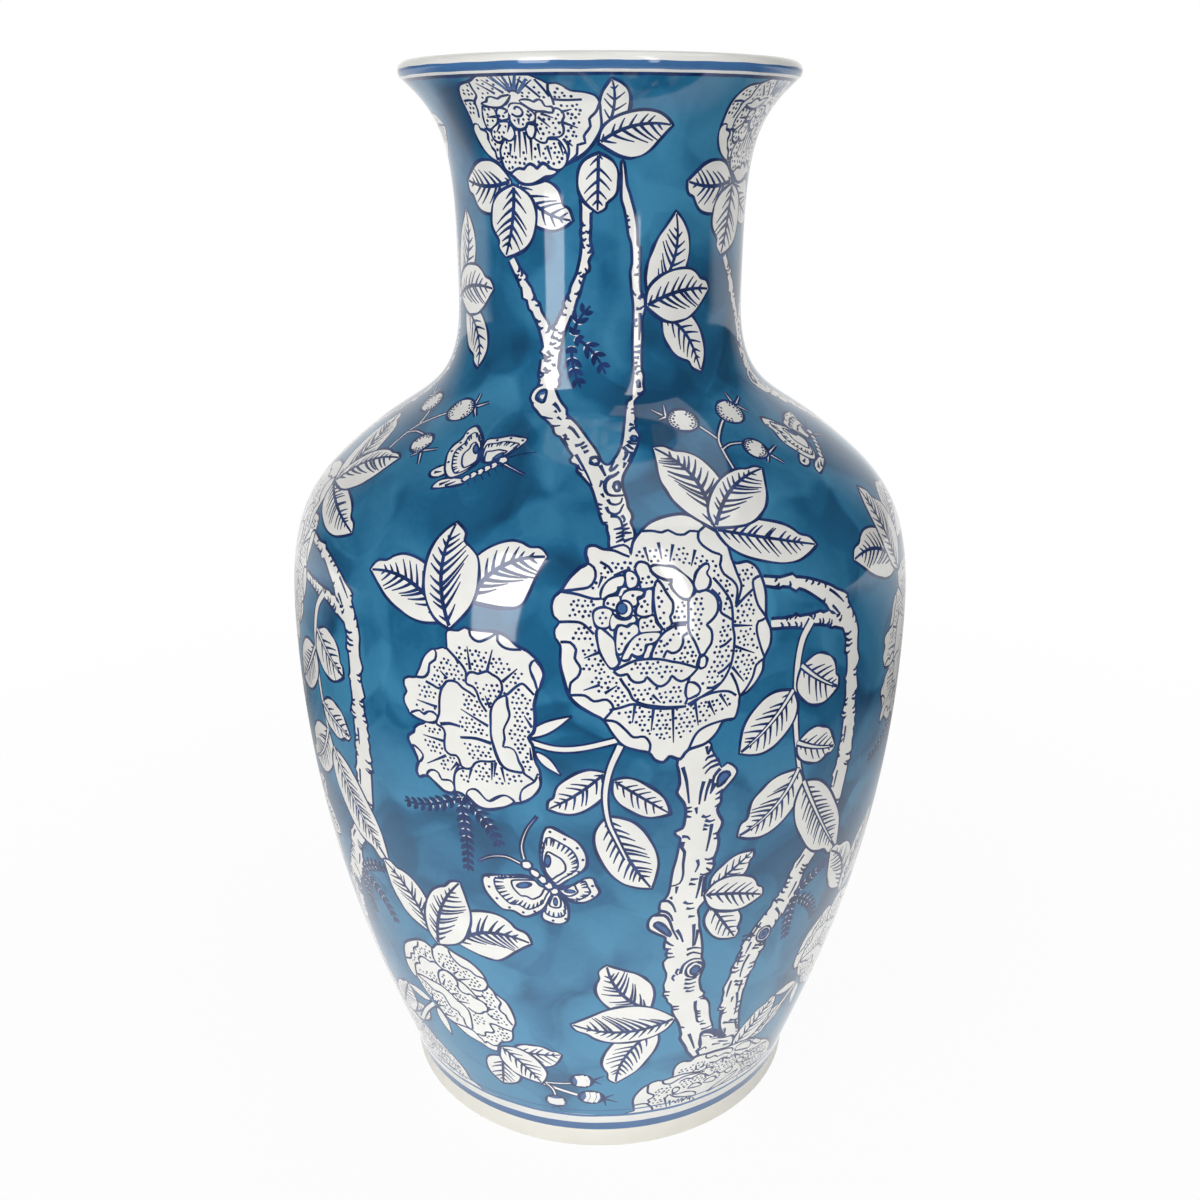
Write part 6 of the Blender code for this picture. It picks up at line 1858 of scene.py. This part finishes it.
def white_world(ambient):
    """A surround that is white to look at, dim in the glaze's front and soft on matt surfaces."""
    world = bpy.data.worlds.new("studio_white")
    world.use_nodes = True
    graph = Graph(world.node_tree)
    background = world.node_tree.nodes["Background"]
    background.inputs["Color"].default_value = (1, 1, 1, 1)
    ray = graph.add("LightPath").outputs
    aim = graph.add("SeparateXYZ", {0: graph.add("TexCoord").outputs["Generated"]}).outputs
    mirrored = graph.spread(aim["Y"], *FRONT_EDGE, FRONT_DIM, 1.0)
    shiny = graph.math("MAXIMUM", ray["Is Glossy Ray"], ray["Is Transmission Ray"])
    unseen = graph.spread(shiny, 0.0, 1.0, ambient, mirrored)
    strength = graph.spread(ray["Is Camera Ray"], 0.0, 1.0, unseen, 1.0)
    graph.tree.links.new(strength, background.inputs["Strength"])
    return world


def studio_floor(colour):
    """A pale floor that fades into the white surround and keeps the vase's shadow."""
    material = bpy.data.materials.new("studio_floor")
    material.use_nodes = True
    graph = Graph(material.node_tree)
    matt = material.node_tree.nodes["Principled BSDF"]
    matt.inputs["Base Color"].default_value = (*colour, 1.0)
    matt.inputs["Roughness"].default_value = 0.9
    matt.inputs["Specular IOR Level"].default_value = 0.0
    ray = graph.add("LightPath").outputs
    shiny = graph.math("MAXIMUM", ray["Is Glossy Ray"], ray["Is Transmission Ray"])
    seen = graph.math("MAXIMUM", ray["Is Camera Ray"], shiny)
    place = graph.add("TexCoord").outputs["Object"]
    far = graph.add("VectorMath", {0: place}, operation="LENGTH").outputs["Value"]
    white = graph.math("MULTIPLY", seen, graph.spread(far, *FLOOR_FADE, FLOOR_WHITE, 1.0))
    near = graph.spread(far, *FRONT_FLOOR, 1.0, FRONT_DIM)
    rear = graph.spread(graph.add("SeparateXYZ", {0: place}).outputs["Y"], *REAR_FLOOR, FRONT_DIM, 1.0)
    mirrored = graph.math("MAXIMUM", near, rear)
    glow = graph.add("Emission", {"Strength": graph.spread(ray["Is Camera Ray"], 0.0, 1.0, mirrored, 1.0)})
    mixed = graph.add("MixShader", {0: white, 1: matt.outputs[0], 2: glow.outputs[0]})
    graph.tree.links.new(mixed.outputs[0], material.node_tree.nodes["Material Output"].inputs[0])
    return material


class VASE_OT_stage(bpy.types.Operator):
    """Builds the floor, the light and the camera"""
    bl_idname = "vase.stage"
    bl_label = "Stage"

    def execute(self, context):
        scene, stage = context.scene, context.scene.vase_stage
        bm = bmesh.new()
        bmesh.ops.create_grid(bm, x_segments=4, y_segments=4, size=FLOOR_REACH)
        mesh = bpy.data.meshes.new("floor")
        bm.to_mesh(mesh)
        bm.free()
        mesh.materials.append(studio_floor(scene.vase_colours.floor))
        floor = bpy.data.objects.new("floor", mesh)
        scene.collection.objects.link(floor)
        scene.world = white_world(stage.ambient)
        middle = (0, 0, 0.22)
        softbox("left_softbox", (-0.58, -0.84, 0.66), middle, 0.32, 1.1, 5.0)
        softbox("right_softbox", (0.52, -0.97, 0.8), middle, 0.12, 1.4, 2.2)
        softbox("top_softbox", (0.5, 0.15, 1.9), middle, 1.2, 1.0, 3.5)
        softbox("low_card", (0, -0.18, 0.003), (0, -0.18, 1), 0.5, 0.14, 0.14, False)
        softbox("front_fill", (0.05, -1.2, 0.5), (0, 0, 0.34), 0.6, 0.4, 2.0, False)
        softbox("rear_fill", (0.2, 1.3, 0.7), middle, 0.8, 0.8, 3.0, False)
        camera = bpy.data.cameras.new("camera")
        camera.lens = stage.lens
        camera.sensor_width = SENSOR
        camera.clip_end = 50.0
        holder = bpy.data.objects.new("camera", camera)
        scene.collection.objects.link(holder)
        holder.location = (0, -stage.camera_distance, stage.camera_height)
        holder.rotation_euler = (pi / 2 - stage.camera_pitch, 0, 0)
        scene.camera = holder
        scene.view_settings.view_transform = "Standard"
        return {"FINISHED"}


class VASE_PT_build(bpy.types.Panel):
    """Lists the vase's pieces and the stage"""
    bl_idname = "VASE_PT_build"
    bl_label = "Porcelain Vase"
    bl_space_type = "VIEW_3D"
    bl_region_type = "UI"
    bl_category = "Vase"

    def draw(self, context):
        column = self.layout.column()
        for operator in OPERATORS:
            column.operator(operator.bl_idname)
        for group in (context.scene.vase_shape, context.scene.vase_colours, context.scene.vase_stage):
            for name in group.__annotations__:
                column.prop(group, name)


GROUPS = (VaseShape, VaseColours, VaseStage)
OPERATORS = (VASE_OT_wall, VASE_OT_foot, VASE_OT_floor_disc, VASE_OT_stage)


def register():
    """Adds the classes and the scene's settings."""
    for item in (*GROUPS, *OPERATORS, VASE_PT_build):
        bpy.utils.register_class(item)
    bpy.types.Scene.vase_shape = PointerProperty(type=VaseShape)
    bpy.types.Scene.vase_colours = PointerProperty(type=VaseColours)
    bpy.types.Scene.vase_stage = PointerProperty(type=VaseStage)


def unregister():
    """Takes the scene's settings and the classes away again."""
    del bpy.types.Scene.vase_shape
    del bpy.types.Scene.vase_colours
    del bpy.types.Scene.vase_stage
    for item in reversed((*GROUPS, *OPERATORS, VASE_PT_build)):
        bpy.utils.unregister_class(item)


def main():
    """Builds every piece and the stage."""
    register()
    bpy.ops.vase.wall()
    bpy.ops.vase.foot()
    bpy.ops.vase.floor_disc()
    bpy.ops.vase.stage()


if __name__ == "__main__":
    main()
